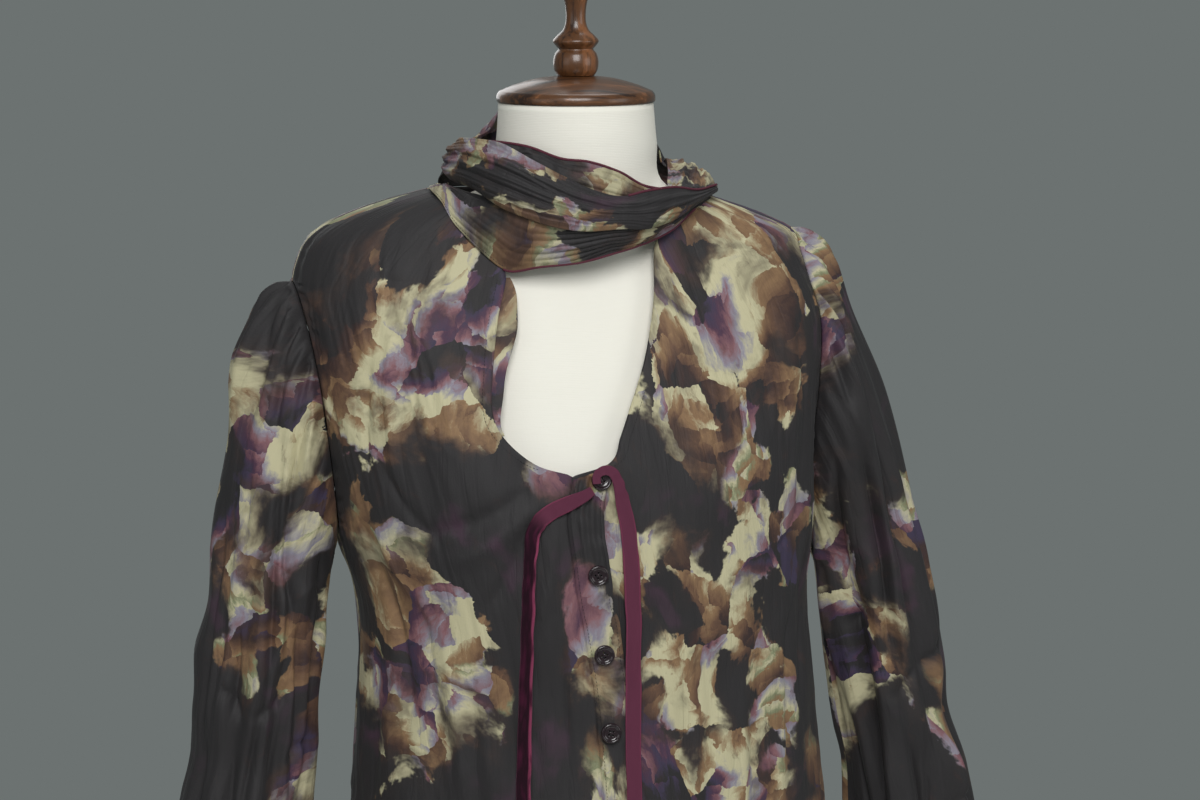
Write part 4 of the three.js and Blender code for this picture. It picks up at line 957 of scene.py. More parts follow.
def scarf_place(name):
    """Where a stretch of the scarf lies: u runs along it, v from its upper edge to its lower."""
    table, pleats = SCARF[name], PLEATS[name]
    wander = Unevenness(pleats["seed"])

    def ends(share, edge):
        return np.stack([table.share(edge + axis, share) for axis in "XYZ"], axis=-1)

    def place(u, v, out=0.0):
        across = 1 - v
        low, high = ends(u, "low"), ends(u, "high")
        run = ends(np.minimum(u + SHORT_STEP, 1), "low") - ends(np.maximum(u - SHORT_STEP, 0), "low")
        outward = unit(np.cross(run, high - low))
        astray = wander(u * SCARF_WANDER[0], across * SCARF_WANDER[1])
        line = across * pleats["count"] + pleats["wander"] * astray
        ridge = 1 - np.abs(np.sin(math.pi * line)) ** 0.6
        uneven = 0.6 + 0.6 * wander(u * SCARF_UNEVEN[0] + 20, across * SCARF_UNEVEN[1])
        width = np.linalg.norm(high - low, axis=-1)
        depth = np.minimum(pleats["depth"], width / PLEATS_A_WIDTH)
        edges = fade(v, 0, 0.1) * (1 - fade(v, 0.9, 1))
        swell = pleats["section"].read("swell", across) * table.share("belly", u)
        bunch = SCARF_BUNCH_DEPTH * wander(u * SCARF_BUNCH[0] + 7, across * SCARF_BUNCH[1] + 9) * edges
        lift = swell - depth * ridge * uneven * edges + bunch + out
        return low + (high - low) * across[..., None] + outward * lift[..., None]

    return place


RIBBON_SEEDS = {"ribbon_right": 51, "ribbon_left": 52}
RIBBON_WAVER = {"depth": 0.7, "count": 34}
RIBBON_CURL = {"depth": 0.25, "count": 30}


def ribbon_place(name):
    """Where a ribbon lies: u runs across it, v down."""
    table = RIBBONS[name]
    wave = Unevenness(RIBBON_SEEDS[name])

    def place(u, v, out=0.0):
        before, after = np.maximum(v - SHORT_STEP, 0), np.minimum(v + SHORT_STEP, 1)
        run_x = table.share("x", after) - table.share("x", before)
        run_z = table.share("z", after) - table.share("z", before)
        length = np.hypot(run_x, run_z)
        turn = np.radians(table.share("turn", v))
        half = table.share("half", v)
        across = 2 * u - 1
        flat = across * half * np.cos(turn)
        x = table.share("x", v) - run_z / length * flat
        z = table.share("z", v) + run_x / length * flat
        waver = wave(v * RIBBON_WAVER["count"], 3.5 + 0.4 * u) * fade(v, 0.12, 0.3)
        x = x + RIBBON_WAVER["depth"] * waver
        rise = np.sin(turn) * half
        curl = RIBBON_CURL["depth"] * wave(v * RIBBON_CURL["count"], u * 1.5)
        lift = table.share("off", v) + np.abs(rise) + across * rise + RIBBON_CLOTH + curl + out
        return on_front(x, z, lift)

    return place


FORM_SEAMS = (0, 34, -34, 90, -90, 146, -146, 180)
FORM_SEAM = {"depth": 0.35, "width": 0.7, "top": 1330, "end": 1400}


def form_place(u, v):
    """Where the form's canvas lies: u runs round from the back, v down from the neck."""
    heights = FORM.columns["z"]
    z = heights[-1] + (heights[0] - heights[-1]) * v
    angle = 2 * math.pi * u - math.pi
    sunk = np.zeros(angle.shape)
    for at in FORM_SEAMS:
        away = turn_between(np.degrees(angle), at) / FORM_SEAM["width"]
        below = 1 - fade(z, FORM_SEAM["top"], FORM_SEAM["end"])
        sunk = sunk + FORM_SEAM["depth"] * np.exp(-(away**2)) * below
    return section_point(FORM, z, angle, -sunk)


def mesh_from(name, shaped, smooth=True):
    """The mesh of a finished bmesh, which is freed."""
    for face in shaped.faces:
        face.smooth = smooth
    mesh = bpy.data.meshes.new(name)
    shaped.to_mesh(mesh)
    shaped.free()
    return mesh


def new_piece(name, mesh, *replaced):
    """An object at the origin that rides on the part and stands for the named CAD nodes."""
    piece = bpy.data.objects.new(name, mesh)
    bpy.context.scene.collection.objects.link(piece)
    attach(piece, "root")
    if replaced:
        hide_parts(*replaced)
    return piece


# Metres within which the two edges of a tube's cloth are joined
JOIN_DISTANCE = 0.00002


def flat_lengths(points):
    """A flat cut's place of each point of a laid grid, in metres, measured from its middle column."""
    rows, columns = points.shape[:2]
    steps = np.linalg.norm(np.diff(points, axis=1), axis=-1)
    across = np.concatenate([np.zeros((rows, 1)), np.cumsum(steps, axis=1)], axis=1)
    middle = columns // 2
    across = across - across[:, middle : middle + 1]
    drops = np.linalg.norm(np.diff(points[:, middle], axis=0), axis=-1)
    down = np.concatenate([[0], np.cumsum(drops)])
    return np.stack([across, np.broadcast_to(-down[:, None], across.shape)], axis=-1) * MM


# Columns over which a sleeve's creases are evened out in its cut
EVEN_STEPS = 8


def sleeve_cut(points):
    """The same for a sleeve: of one width, measured up from its hem, so that its head is cut higher."""
    rounds = np.linalg.norm(np.diff(points[:, ::EVEN_STEPS], axis=1), axis=-1).sum(axis=1)
    across = np.linspace(-0.5, 0.5, points.shape[1]) * np.median(rounds)
    drops = np.linalg.norm(np.diff(points, axis=0), axis=-1)
    up = np.cumsum(drops[::-1], axis=0)[::-1]
    up = np.concatenate([up, np.zeros((1, up.shape[1]))])
    up = np.mean([np.roll(up, shift, axis=1) for shift in range(-EVEN_STEPS, EVEN_STEPS + 1)], axis=0)
    return np.stack([np.broadcast_to(across, up.shape), up], axis=-1) * MM


def front_cut(points):
    """The same for cloth on the front: the way round the body and the height, so that neighbours match."""
    z = points[..., 2]
    angle = np.arctan2(points[..., 0] - BODY.read("cx", z), BODY.read("cy", z) - points[..., 1])
    return np.stack([angle * SEAM_RADIUS, z], axis=-1) * MM


def back_cut(points):
    """The same for the back, measured from the centre back."""
    z = points[..., 2]
    angle = np.arctan2(points[..., 0] - BODY.read("cx", z), points[..., 1] - BODY.read("cy", z))
    return np.stack([angle * SEAM_RADIUS, z], axis=-1) * MM


def grid_mesh(name, points, flat):
    """A mesh laid over a grid of points in millimetres, with its flat cut in metres as UV map."""
    rows, columns = points.shape[0] - 1, points.shape[1] - 1
    shaped = bmesh.new()
    bmesh.ops.create_grid(shaped, x_segments=columns, y_segments=rows, size=0.5)
    mesh = mesh_from(name, shaped)
    laid = np.empty(len(mesh.vertices) * 3)
    mesh.vertices.foreach_get("co", laid)
    grid = laid.reshape(-1, 3)
    column = np.rint((grid[:, 0] + 0.5) * columns).astype(int)
    row = np.rint((0.5 - grid[:, 1]) * rows).astype(int)
    mesh.vertices.foreach_set("co", (points[row, column] * MM).ravel())
    corners = np.empty(len(mesh.loops), int)
    mesh.loops.foreach_get("vertex_index", corners)
    cut = mesh.uv_layers.new(name="flat_cut")
    cut.data.foreach_set("uv", flat[row, column][corners].ravel())
    mesh.update()
    return mesh


def laid_cloth(name, place, size, thickness, print_at=(0, 0), joined=False, cut_by=flat_lengths):
    """A thin shell of cloth in a grid of columns and rows that place(u, v) lays."""
    columns, rows = size
    u, v = np.meshgrid(np.linspace(0, 1, columns + 1), np.linspace(0, 1, rows + 1))
    points = place(u, v)
    mesh = grid_mesh(name, points, cut_by(points) + np.array(print_at))
    outside = (place(u, v, out=1.0) - points)[rows // 2, columns // 2]
    middle = mesh.polygons[(rows // 2) * columns + columns // 2]
    shaped = bmesh.new()
    shaped.from_mesh(mesh)
    if np.dot(middle.normal, outside) < 0:
        bmesh.ops.reverse_faces(shaped, faces=shaped.faces)
    if joined:
        bmesh.ops.remove_doubles(shaped, verts=shaped.verts, dist=JOIN_DISTANCE)
    shaped.to_mesh(mesh)
    shaped.free()
    piece = new_piece(name, mesh)
    wall = piece.modifiers.new("cloth", "SOLIDIFY")
    wall.thickness = thickness * MM
    wall.offset = -1
    return piece


# Lines of the coarser grid on which a cloth's flat size is measured
MEASURED = 41


def declare_cloth(place):
    """Measures the lengths across and down a laid cloth's own grid, and its cells' sides crossed; the
    results are not used.
    """
    u, v = np.meshgrid(np.linspace(0, 1, MEASURED), np.linspace(0, 1, MEASURED))
    points = place(u, v)
    across = np.linalg.norm(np.diff(points, axis=1), axis=-1).sum(axis=1)
    down = np.linalg.norm(np.diff(points, axis=0), axis=-1).sum(axis=0)
    cells = np.cross(points[1:, :-1] - points[:-1, :-1], points[:-1, 1:] - points[:-1, :-1])


def ring_edges(ring):
    """The edges between a ring's own vertices."""
    touching = {edge for vert in ring for edge in vert.link_edges}
    return [edge for edge in touching if all(end in ring for end in edge.verts)]


# Sides of a bound edge's round section
TUBE_SIDES = 8


def tube(name, points, radius):
    """A closed round cord of trim through points, in millimetres."""
    points = np.asarray(points, float)
    shaped = bmesh.new()
    rings = []
    for point, run in zip(points, np.gradient(points, axis=0)):
        turn = Vector(run).to_track_quat("Z", "Y").to_matrix().to_4x4()
        place = Matrix.Translation(Vector(point) * MM) @ turn
        made = bmesh.ops.create_circle(shaped, segments=TUBE_SIDES, radius=radius * MM, matrix=place)
        rings.append(made["verts"])
    for ring, following in zip(rings, rings[1:]):
        bmesh.ops.bridge_loops(shaped, edges=ring_edges(ring) + ring_edges(following))
    for ring in (rings[0], rings[-1]):
        bmesh.ops.contextual_create(shaped, geom=ring)
    bmesh.ops.recalc_face_normals(shaped, faces=shaped.faces)
    return new_piece(name, mesh_from(name, shaped))


def evenly(points, step):
    """Points at even steps along a line, with the line's direction there."""
    points = np.asarray(points, float)
    lengths = np.concatenate([[0], np.cumsum(np.linalg.norm(np.diff(points, axis=0), axis=-1))])
    at = np.arange(step / 2, lengths[-1], step)
    spaced = np.stack([np.interp(at, lengths, points[:, k]) for k in range(3)], axis=-1)
    ahead = np.stack([np.interp(at + 0.5, lengths, points[:, k]) for k in range(3)], axis=-1)
    return spaced, unit(ahead - spaced + 1e-9)


# A stitch's height as a share of its width
STITCH_FLATNESS = 0.7


def stitched(name, lines, pitch, length, thread):
    """One piece of sewing: short rounded stitches along lines of points and directions off the cloth."""
    one = bmesh.new()
    bmesh.ops.create_uvsphere(one, u_segments=6, v_segments=4, radius=1)
    stitch = mesh_from("stitch", one)
    shaped = bmesh.new()
    for points, away in lines:
        middles, runs = evenly(points, pitch)
        spots = np.linspace(0, 1, len(points))
        for i, (middle, run) in enumerate(zip(middles, runs)):
            share = i / max(len(middles) - 1, 1)
            normal = Vector([np.interp(share, spots, away[:, k]) for k in range(3)]).normalized()
            direction = Vector(run).normalized()
            side = normal.cross(direction).normalized()
            turn = Matrix((side, normal, direction)).transposed().to_4x4()
            size = Matrix.Diagonal((thread * MM, thread * STITCH_FLATNESS * MM, length / 2 * MM, 1))
            place = Matrix.Translation(Vector(middle) * MM) @ turn @ size
            stitch.transform(place)
            shaped.from_mesh(stitch)
            stitch.transform(place.inverted())
    return new_piece(name, mesh_from(name, shaped))


def spun(name, outline, steps, *replaced, centre=(0, 0), base=0):
    """A turned piece from radius and height pairs in millimetres, closed on its axis."""
    shaped = bmesh.new()
    profile = [(0, outline[0][1]), *outline, (0, outline[-1][1])]
    line = [shaped.verts.new((radius * MM, 0, height * MM)) for radius, height in profile]
    edges = [shaped.edges.new(pair) for pair in zip(line, line[1:])]
    bmesh.ops.spin(
        shaped,
        geom=line + edges,
        cent=(0, 0, 0),
        axis=(0, 0, 1),
        angle=2 * math.pi,
        steps=steps,
        use_merge=True,
    )
    bmesh.ops.remove_doubles(shaped, verts=shaped.verts, dist=JOIN_DISTANCE / 2)
    bmesh.ops.recalc_face_normals(shaped, faces=shaped.faces)
    bmesh.ops.translate(shaped, verts=shaped.verts, vec=Vector((*centre, base)) * MM)
    return new_piece(name, mesh_from(name, shaped), *replaced)


def rounded(pairs, steps):
    """Radius and height pairs read as one smooth outline with more points."""
    radii, heights = np.array(pairs, float).T
    stations = np.arange(len(radii), dtype=float)
    at = np.linspace(0, len(radii) - 1, steps)
    return list(zip(smooth(stations, radii, at), smooth(stations, heights, at)))


def tint(red, green, blue):
    """A screen colour from 0 to 255 as linear light."""
    parts = [c / 255 for c in (red, green, blue)]
    return tuple(c / 12.92 if c <= 0.04045 else ((c + 0.055) / 1.055) ** 2.4 for c in parts)


class Number:
    """A number that changes over a surface. Its arithmetic adds Math nodes to the finish."""

    def __init__(self, finish, socket):
        self.finish = finish
        self.socket = socket

    def math(self, operation, *others):
        """A Math node with this number first."""
        return self.finish.number(operation, self, *others)

    def __add__(self, other):
        return self.math("ADD", other)

    __radd__ = __add__

    def __sub__(self, other):
        return self.math("SUBTRACT", other)

    def __rsub__(self, other):
        return self.finish.number("SUBTRACT", other, self)

    def __mul__(self, other):
        return self.math("MULTIPLY", other)

    __rmul__ = __mul__

    def __truediv__(self, other):
        return self.math("DIVIDE", other)

    def between(self, low, high):
        """0 below low, 1 above high, soft between."""
        settings = {"interpolation_type": "SMOOTHSTEP"}
        node = self.finish.add("ShaderNodeMapRange", settings, {0: self, 1: low, 2: high})
        return Number(self.finish, node.outputs[0])


# A Noise node's scale, detail, roughness and distortion where they aren't given
NOISE_SIZES = (5, 2, 0.5, 0)

# Sockets of a Mix node's colours: its first, its second and the mixed one
MIX_FIRST, MIX_SECOND, MIX_OUT = 6, 7, 2


class Finish:
    """A material being made. Nodes are added by type, with settings first and sockets after them."""

    def __init__(self, name):
        self.material = bpy.data.materials.new(name)
        self.material.use_nodes = True
        self.tree = self.material.node_tree
        self.shader = self.tree.nodes["Principled BSDF"]
        self.where = self.add("ShaderNodeTexCoord")

    def fill(self, socket, value):
        """Sets a socket, or links it."""
        if isinstance(value, Number):
            value = value.socket
        if isinstance(value, bpy.types.NodeSocket):
            self.tree.links.new(value, socket)
        elif socket.type == "RGBA" and len(value) == 3:
            socket.default_value = (*value, 1)
        else:
            socket.default_value = value

    def add(self, kind, settings=None, sockets=None):
        """A node of any type."""
        node = self.tree.nodes.new(kind)
        for key, value in (settings or {}).items():
            setattr(node, key, value)
        for key, value in (sockets or {}).items():
            self.fill(node.inputs[key], value)
        return node

    def number(self, operation, *values):
        """A Math node."""
        node = self.add("ShaderNodeMath", {"operation": operation}, dict(enumerate(values)))
        return Number(self, node.outputs[0])

    def vector(self, operation, *values, output="Vector"):
        """A Vector Math node."""
        node = self.add("ShaderNodeVectorMath", {"operation": operation}, dict(enumerate(values)))
        socket = node.outputs[output]
        return Number(self, socket) if output == "Value" else socket

    def placed(self, source, scale=(1, 1, 1), location=(0, 0, 0)):
        """Coordinates of a surface after a Mapping node."""
        sockets = {"Vector": source, "Scale": scale, "Location": location}
        return self.add("ShaderNodeMapping", None, sockets).outputs[0]

    def noise(self, at, *sizes):
        """A Noise node; sizes are its scale, detail, roughness and distortion, as many as are given."""
        names = ("Scale", "Detail", "Roughness", "Distortion")
        sizes = (*sizes, *NOISE_SIZES[len(sizes) :])
        return self.add("ShaderNodeTexNoise", None, {"Vector": at, **dict(zip(names, sizes))})

    def noise_value(self, at, *sizes):
        """A Noise node's number."""
        return Number(self, self.noise(at, *sizes).outputs["Fac"])

    def pushed(self, at, scale, reach, *sizes):
        """Coordinates pushed about by noise, by up to about reach."""
        push = self.noise(at, scale, *sizes).outputs["Color"]
        centred = self.vector("SUBTRACT", push, (0.5, 0.5, 0.5))
        return self.vector("MULTIPLY_ADD", centred, (2 * reach, 2 * reach, 0), at)

    def mix(self, share, first, second):
        """Two colours mixed."""
        node = self.add("ShaderNodeMix", {"data_type": "RGBA"})
        self.fill(node.inputs["Factor"], share)
        self.fill(node.inputs[MIX_FIRST], first)
        self.fill(node.inputs[MIX_SECOND], second)
        return node.outputs[MIX_OUT]

    def ramp(self, share, settings, stops):
        """A Color Ramp of places and the names of their colours."""
        node = self.add("ShaderNodeValToRGB")
        elements = node.color_ramp.elements
        while len(elements) < len(stops):
            elements.new(0.5)
        for element, (place, colour) in zip(elements, stops):
            element.position = place
            element.color = (*getattr(settings, colour), 1)
        self.fill(node.inputs[0], share)
        return node.outputs[0]

    def relief(self, height, distance, strength):
        """A Bump node's normal."""
        sockets = {"Height": height, "Distance": distance, "Strength": strength}
        return self.add("ShaderNodeBump", None, sockets).outputs[0]

    def ribs(self, at, scale, direction="Y"):
        """A Wave node's number: bands across one direction."""
        node = self.add("ShaderNodeTexWave", {"bands_direction": direction}, {"Vector": at, "Scale": scale})
        return Number(self, node.outputs["Fac"])

    def set(self, **sockets):
        """Sets or links the shader's own sockets; a socket's spaces are written as underscores."""
        for key, value in sockets.items():
            self.fill(self.shader.inputs[key.replace("_", " ")], value)
        return self.material


# A full turn in radians
FULL_TURN = 6.28

# Flower heads in two sizes: cells a metre, radius in metres and petals
LARGE_HEADS = (5.6, 0.085, 5)
SMALL_HEADS = (10.5, 0.043, 4)
PETAL_CELLS = 21
DAB_CELLS = 52

# The painted tones of the large and the small heads, from one end of their range to the other
LARGE_TONES = (
    (0.0, "ground"),
    (0.08, "violet"),
    (0.17, "plum"),
    (0.25, "mauve"),
    (0.33, "lavender"),
    (0.41, "cream"),
    (0.56, "cream"),
    (0.66, "tan"),
    (0.78, "brown"),
    (0.9, "umber"),
    (1.0, "ground"),
)
SMALL_TONES = (
    (0.0, "plum"),
    (0.14, "mauve"),
    (0.26, "lavender"),
    (0.36, "cream"),
    (0.42, "sage"),
    (0.48, "tan"),
    (0.62, "brown"),
    (0.76, "umber"),
    (0.9, "violet"),
)


def cell_pattern(finish, at, cells, randomness):
    """A cell pattern: two chance numbers for each cell, and the way from its middle as x, y and length."""
    voronoi = finish.add(
        "ShaderNodeTexVoronoi",
        {"voronoi_dimensions": "2D", "feature": "F1"},
        {"Vector": at, "Scale": cells, "Randomness": randomness},
    )
    luck = finish.add("ShaderNodeSeparateColor", None, {0: voronoi.outputs["Color"]})
    away = finish.vector("SUBTRACT", at, voronoi.outputs["Position"])
    parts = finish.add("ShaderNodeSeparateXYZ", None, {0: away})
    sockets = (luck.outputs[0], luck.outputs[1], parts.outputs[0], parts.outputs[1])
    return *(Number(finish, socket) for socket in sockets), finish.vector("LENGTH", away, output="Value")


def blossom(finish, at, cells, radius, petals, cover):
    """One layer of painted flower heads: how far inside one a place is, and how far from its heart."""
    first, second, x, y, reach = cell_pattern(finish, at, cells, 0.95)
    turn = finish.number("ARCTAN2", y, x)
    lobes = (turn * petals + first * FULL_TURN).math("COSINE") * 0.24
    lean = (turn * 2 + second * FULL_TURN).math("COSINE") * 0.2
    edge = (lobes + lean + 0.8) * radius * (0.75 + second * 0.5)
    inside = (edge - reach) / radius + (first.between(1 - cover, 1.01 - cover) - 1) * 9
    return inside, reach


def petal_strokes(finish, at, cells):
    """Painted petals: each cell has its own tone, which runs from dark to light across it."""
    first, second, x, y, _ = cell_pattern(finish, at, cells, 1.0)
    heading = first * FULL_TURN
    across = x * heading.math("COSINE") + y * heading.math("SINE")
    return second - 0.5, across * cells


def painted_flowers(finish, settings, cloth, cover, dusk):
    """The print's colour: two sizes of blurred flower heads on a charcoal ground."""
    # The cut's coordinates pushed about, so that heads drift, their rims are torn and their petals brushed
    drift = finish.pushed(cloth, 9, 0.035, 2)
    torn = finish.pushed(drift, 42, 0.011, 5, 0.66)
    brushed = finish.pushed(drift, 60, 0.007, 3, 0.6)
    apart = finish.placed(torn, location=(3.1, 1.7, 0))

    # How far inside a head each place is, frayed at the rim and in places soft
    large_in, large_reach = blossom(finish, torn, *LARGE_HEADS, cover)
    small_in, small_reach = blossom(finish, apart, *SMALL_HEADS, cover * 0.8)
    fray = finish.noise_value(drift, 30, 4, 0.6) - 0.5
    blot = finish.noise_value(drift, 6.5, 2, 0.5) - 0.5
    large_in = large_in + fray * 1.4 + blot * 1.7
    small_in = small_in + fray * 1.3 + blot * 0.8
    soft = finish.noise_value(drift, 7, 1).between(0.44, 0.6)

    # The tone of each petal and dab, which the two ranges of tones turn into colour
    petal_luck, petal_run = petal_strokes(finish, brushed, PETAL_CELLS)
    dab_luck, dab_run = petal_strokes(finish, finish.placed(torn, location=(5, 3, 0)), DAB_CELLS)
    strokes = finish.noise_value(finish.placed(torn, scale=(1, 0.5, 1)), 70, 5, 0.68) - 0.5
    hue = finish.noise_value(finish.placed(drift, location=(7, 2, 0)), 6.5, 2, 0.5) - 0.5
    heart = 1 - large_reach.between(0.008, 0.05)
    tone = 0.5 + hue * 1.5 + petal_luck * 0.5 + petal_run * 0.38 + dab_luck * 0.16 + dab_run * 0.12
    tone = tone + strokes * 0.42 - heart * 0.22
    small_heart = 1 - small_reach.between(0.004, 0.02)
    painted = finish.ramp(tone, settings, LARGE_TONES)
    painted_small = finish.ramp(1.02 - tone + small_heart * 0.1, settings, SMALL_TONES)
    shade = finish.noise_value(brushed, 24, 4, 0.62)

    # The ground, the heads' burnt rims, the heads, and dark strokes over all
    cloud = finish.noise_value(cloth, 14, 3)
    colour = finish.mix((cloud - 0.35) * 0.9, settings.ground, settings.ground_light)
    glow = finish.noise_value(finish.placed(torn, location=(1, 9, 0)), 12, 3, 0.6)
    colour = finish.mix(glow.between(0.58, 0.72) * 0.6, colour, settings.plum)
    halo_large = large_in.between(-0.3, 0.05) * (0.1 + 0.9 * soft)
    colour = finish.mix(halo_large * 0.8, colour, settings.burnt)
    colour = finish.mix(small_in.between(-0.26, 0.05) * 0.75 * soft, colour, settings.burnt)
    small_edge = small_in.between(soft * -0.2 - 0.02, soft * 0.3 + 0.07)
    large_edge = large_in.between(soft * -0.2 - 0.02, soft * 0.35 + 0.07)
    colour = finish.mix(small_edge, colour, painted_small)
    colour = finish.mix(large_edge, colour, painted)
    colour = finish.mix((1 - shade.between(0.3, 0.5)) * 0.62 * large_edge, colour, settings.umber)
    colour = finish.mix(strokes.between(0.08, 0.2) * 0.4, colour, settings.umber)
    return finish.mix(dusk, colour, settings.ground)


def printed_cloth(settings, name, cover, dusk):
    """The printed crepe: painted flowers over crinkled weave, on the cloth's flat cut."""
    finish = Finish(name)
    cloth = finish.where.outputs["UV"]
    colour = painted_flowers(finish, settings, cloth, cover, dusk)
    weave = finish.noise_value(finish.placed(cloth, scale=(1, 0.6, 1)), 900, 1)
    crepe = finish.noise_value(finish.placed(cloth, scale=(1, 0.22, 1)), 170, 3, 0.6)
    wrinkle = finish.noise_value(finish.placed(cloth, scale=(1, 0.16, 1)), 52, 3, 0.55, 0.4)
    fold_line = (wrinkle - 0.5).math("ABSOLUTE").between(0.0, 0.06)
    height = weave * 0.14 + crepe * 0.4 + fold_line * 0.22
    lint = finish.noise_value(cloth, 1300, 2)
    return finish.set(
        Base_Color=finish.mix(0.1 * lint, colour, settings.lint),
        Roughness=0.62 + 0.14 * crepe,
        Normal=finish.relief(height, 0.0014, 0.7),
        Sheen_Weight=0.03,
        Sheen_Roughness=0.5,
        Specular_IOR_Level=0.42,
    )


# Metres from a ribbon's middle over which its edges begin: the painted highlight along one edge of the
# pile, and the selvedge along both edges of the back
PILE_HIGHLIGHT_EDGE = (0.0036, 0.0047)
SELVEDGE = (0.0046, 0.0054)


def velvet_ribbon(settings, name, pile_from, pile_full):
    """Velvet ribbon: its matte woven back, and below its turn the deep pile, with patches of painted sheen
    and a painted highlight along one edge.
    """
    finish = Finish(name)
    cloth = finish.where.outputs["UV"]
    parts = finish.add("ShaderNodeSeparateXYZ", None, {0: cloth})
    side = Number(finish, parts.outputs[0])
    down = Number(finish, parts.outputs[1]) * -1
    pile_side = down.between(pile_from, pile_full)
    pile = finish.noise_value(finish.placed(cloth, scale=(1, 0.5, 1)), 1500, 2)
    brushed = finish.noise_value(finish.placed(cloth, scale=(1, 0.25, 1)), 150, 3)
    ribs = finish.ribs(cloth, 420)
    back = finish.mix((brushed - 0.3) * 0.7, settings.ribbon_back, settings.ribbon_back_dark)
    # Painted sheen: patches of the pile, picked by noise, are lightened towards the lit velvet colour as if
    # they caught the light
    pile_catching_light = (brushed - 0.45).math("ABSOLUTE").between(0.0, 0.25)
    lit = finish.mix(pile_catching_light * 0.5, settings.velvet, settings.velvet_lit)
    # Painted highlight: one edge of the pile is lightened towards the edge colour, as if light caught the
    # turned edge
    bright = side.between(*PILE_HIGHLIGHT_EDGE) * brushed.between(0.3, 0.55)
    front = finish.mix(bright, lit, settings.ribbon_edge_and_highlight)
    selvedge = side.math("ABSOLUTE").between(*SELVEDGE)
    woven = finish.mix(selvedge * 0.5, back, settings.ribbon_edge_and_highlight)
    return finish.set(
        Base_Color=finish.mix(pile_side, woven, front),
        Roughness=0.78 + 0.15 * pile,
        Normal=finish.relief(pile * 0.4 + brushed * pile_side + ribs * 0.15, 0.0006, 0.5),
        Sheen_Weight=0.25,
        Sheen_Roughness=0.35,
        Sheen_Tint=(0.8, 0.3, 0.5, 1),
        Specular_IOR_Level=0.2,
    )


def plain_thread(name, colour):
    """Twisted sewing thread or narrow binding."""
    finish = Finish(name)
    place = finish.where.outputs["Object"]
    twist = finish.noise_value(place, 2200, 2)
    return finish.set(
        Base_Color=finish.mix(twist * 0.5, colour, tuple(c * 0.45 for c in colour)),
        Roughness=0.7 + 0.2 * twist,
        Normal=finish.relief(twist, 0.0003, 0.5),
    )


def canvas_finish(settings):
    """Off-white canvas stretched over the form."""
    finish = Finish("canvas")
    place = finish.where.outputs["Object"]
    cloth = finish.where.outputs["UV"]
    weave = finish.ribs(cloth, 260, "X") + finish.ribs(cloth, 260)
    slub = finish.noise_value(finish.placed(place, scale=(1, 1, 6)), 90, 3)
    cloud = finish.noise_value(place, 7, 3)
    return finish.set(
        Base_Color=finish.mix((cloud - 0.4) * 0.8 + slub * 0.12, settings.canvas, settings.canvas_shade),
        Roughness=0.9 - 0.06 * slub,
        Normal=finish.relief(weave * 0.3 + slub, 0.0003, 0.45),
        Sheen_Weight=0.08,
        Specular_IOR_Level=0.3,
    )


def walnut_finish(settings, name, grain):
    """Polished turned wood, its grain along the axis that the scale squeezes."""
    finish = Finish(name)
    place = finish.where.outputs["Object"]
    bent = finish.placed(finish.pushed(place, 9, 0.006, 2), scale=grain)
    streaks = finish.noise_value(bent, 150, 5, 0.62)
    bands = finish.noise_value(bent, 38, 2, 0.5)
    pores = finish.noise_value(finish.placed(place, scale=grain), 900, 2)
    cloud = finish.noise_value(place, 30, 3)
    shade = finish.ramp(
        streaks * 1.7 + bands - 0.86,
        settings,
        ((0.24, "wood_dark"), (0.42, "wood"), (0.58, "wood"), (0.8, "wood_light")),
    )
    return finish.set(
        Base_Color=finish.mix(pores.between(0.58, 0.7) * 0.5, shade, settings.wood_dark),
        Roughness=0.3 + 0.12 * cloud,
        Normal=finish.relief(pores, 0.0002, 0.3),
        Coat_Weight=0.4,
        Coat_Roughness=0.14,
    )


def button_finish(settings):
    """Polished dark resin with faint clouding."""
    finish = Finish("button_resin")
    place = finish.where.outputs["Object"]
    cloud = finish.noise_value(place, 420, 3)
    return finish.set(
        Base_Color=finish.mix(cloud, settings.button, settings.button_light),
        Roughness=0.12 + 0.14 * cloud,
        Coat_Weight=0.6,
        Coat_Roughness=0.08,
    )


def colour_setting(name, description, default):
    """A colour that a user may change."""
    return bpy.props.FloatVectorProperty(
        name=name, description=description, default=default, subtype="COLOR", size=3, min=0, max=1
    )


def length_setting(name, description, default, least):
    """A length in metres that a user may change."""
    return bpy.props.FloatProperty(
        name=name, description=description, default=default, min=least, unit="LENGTH"
    )


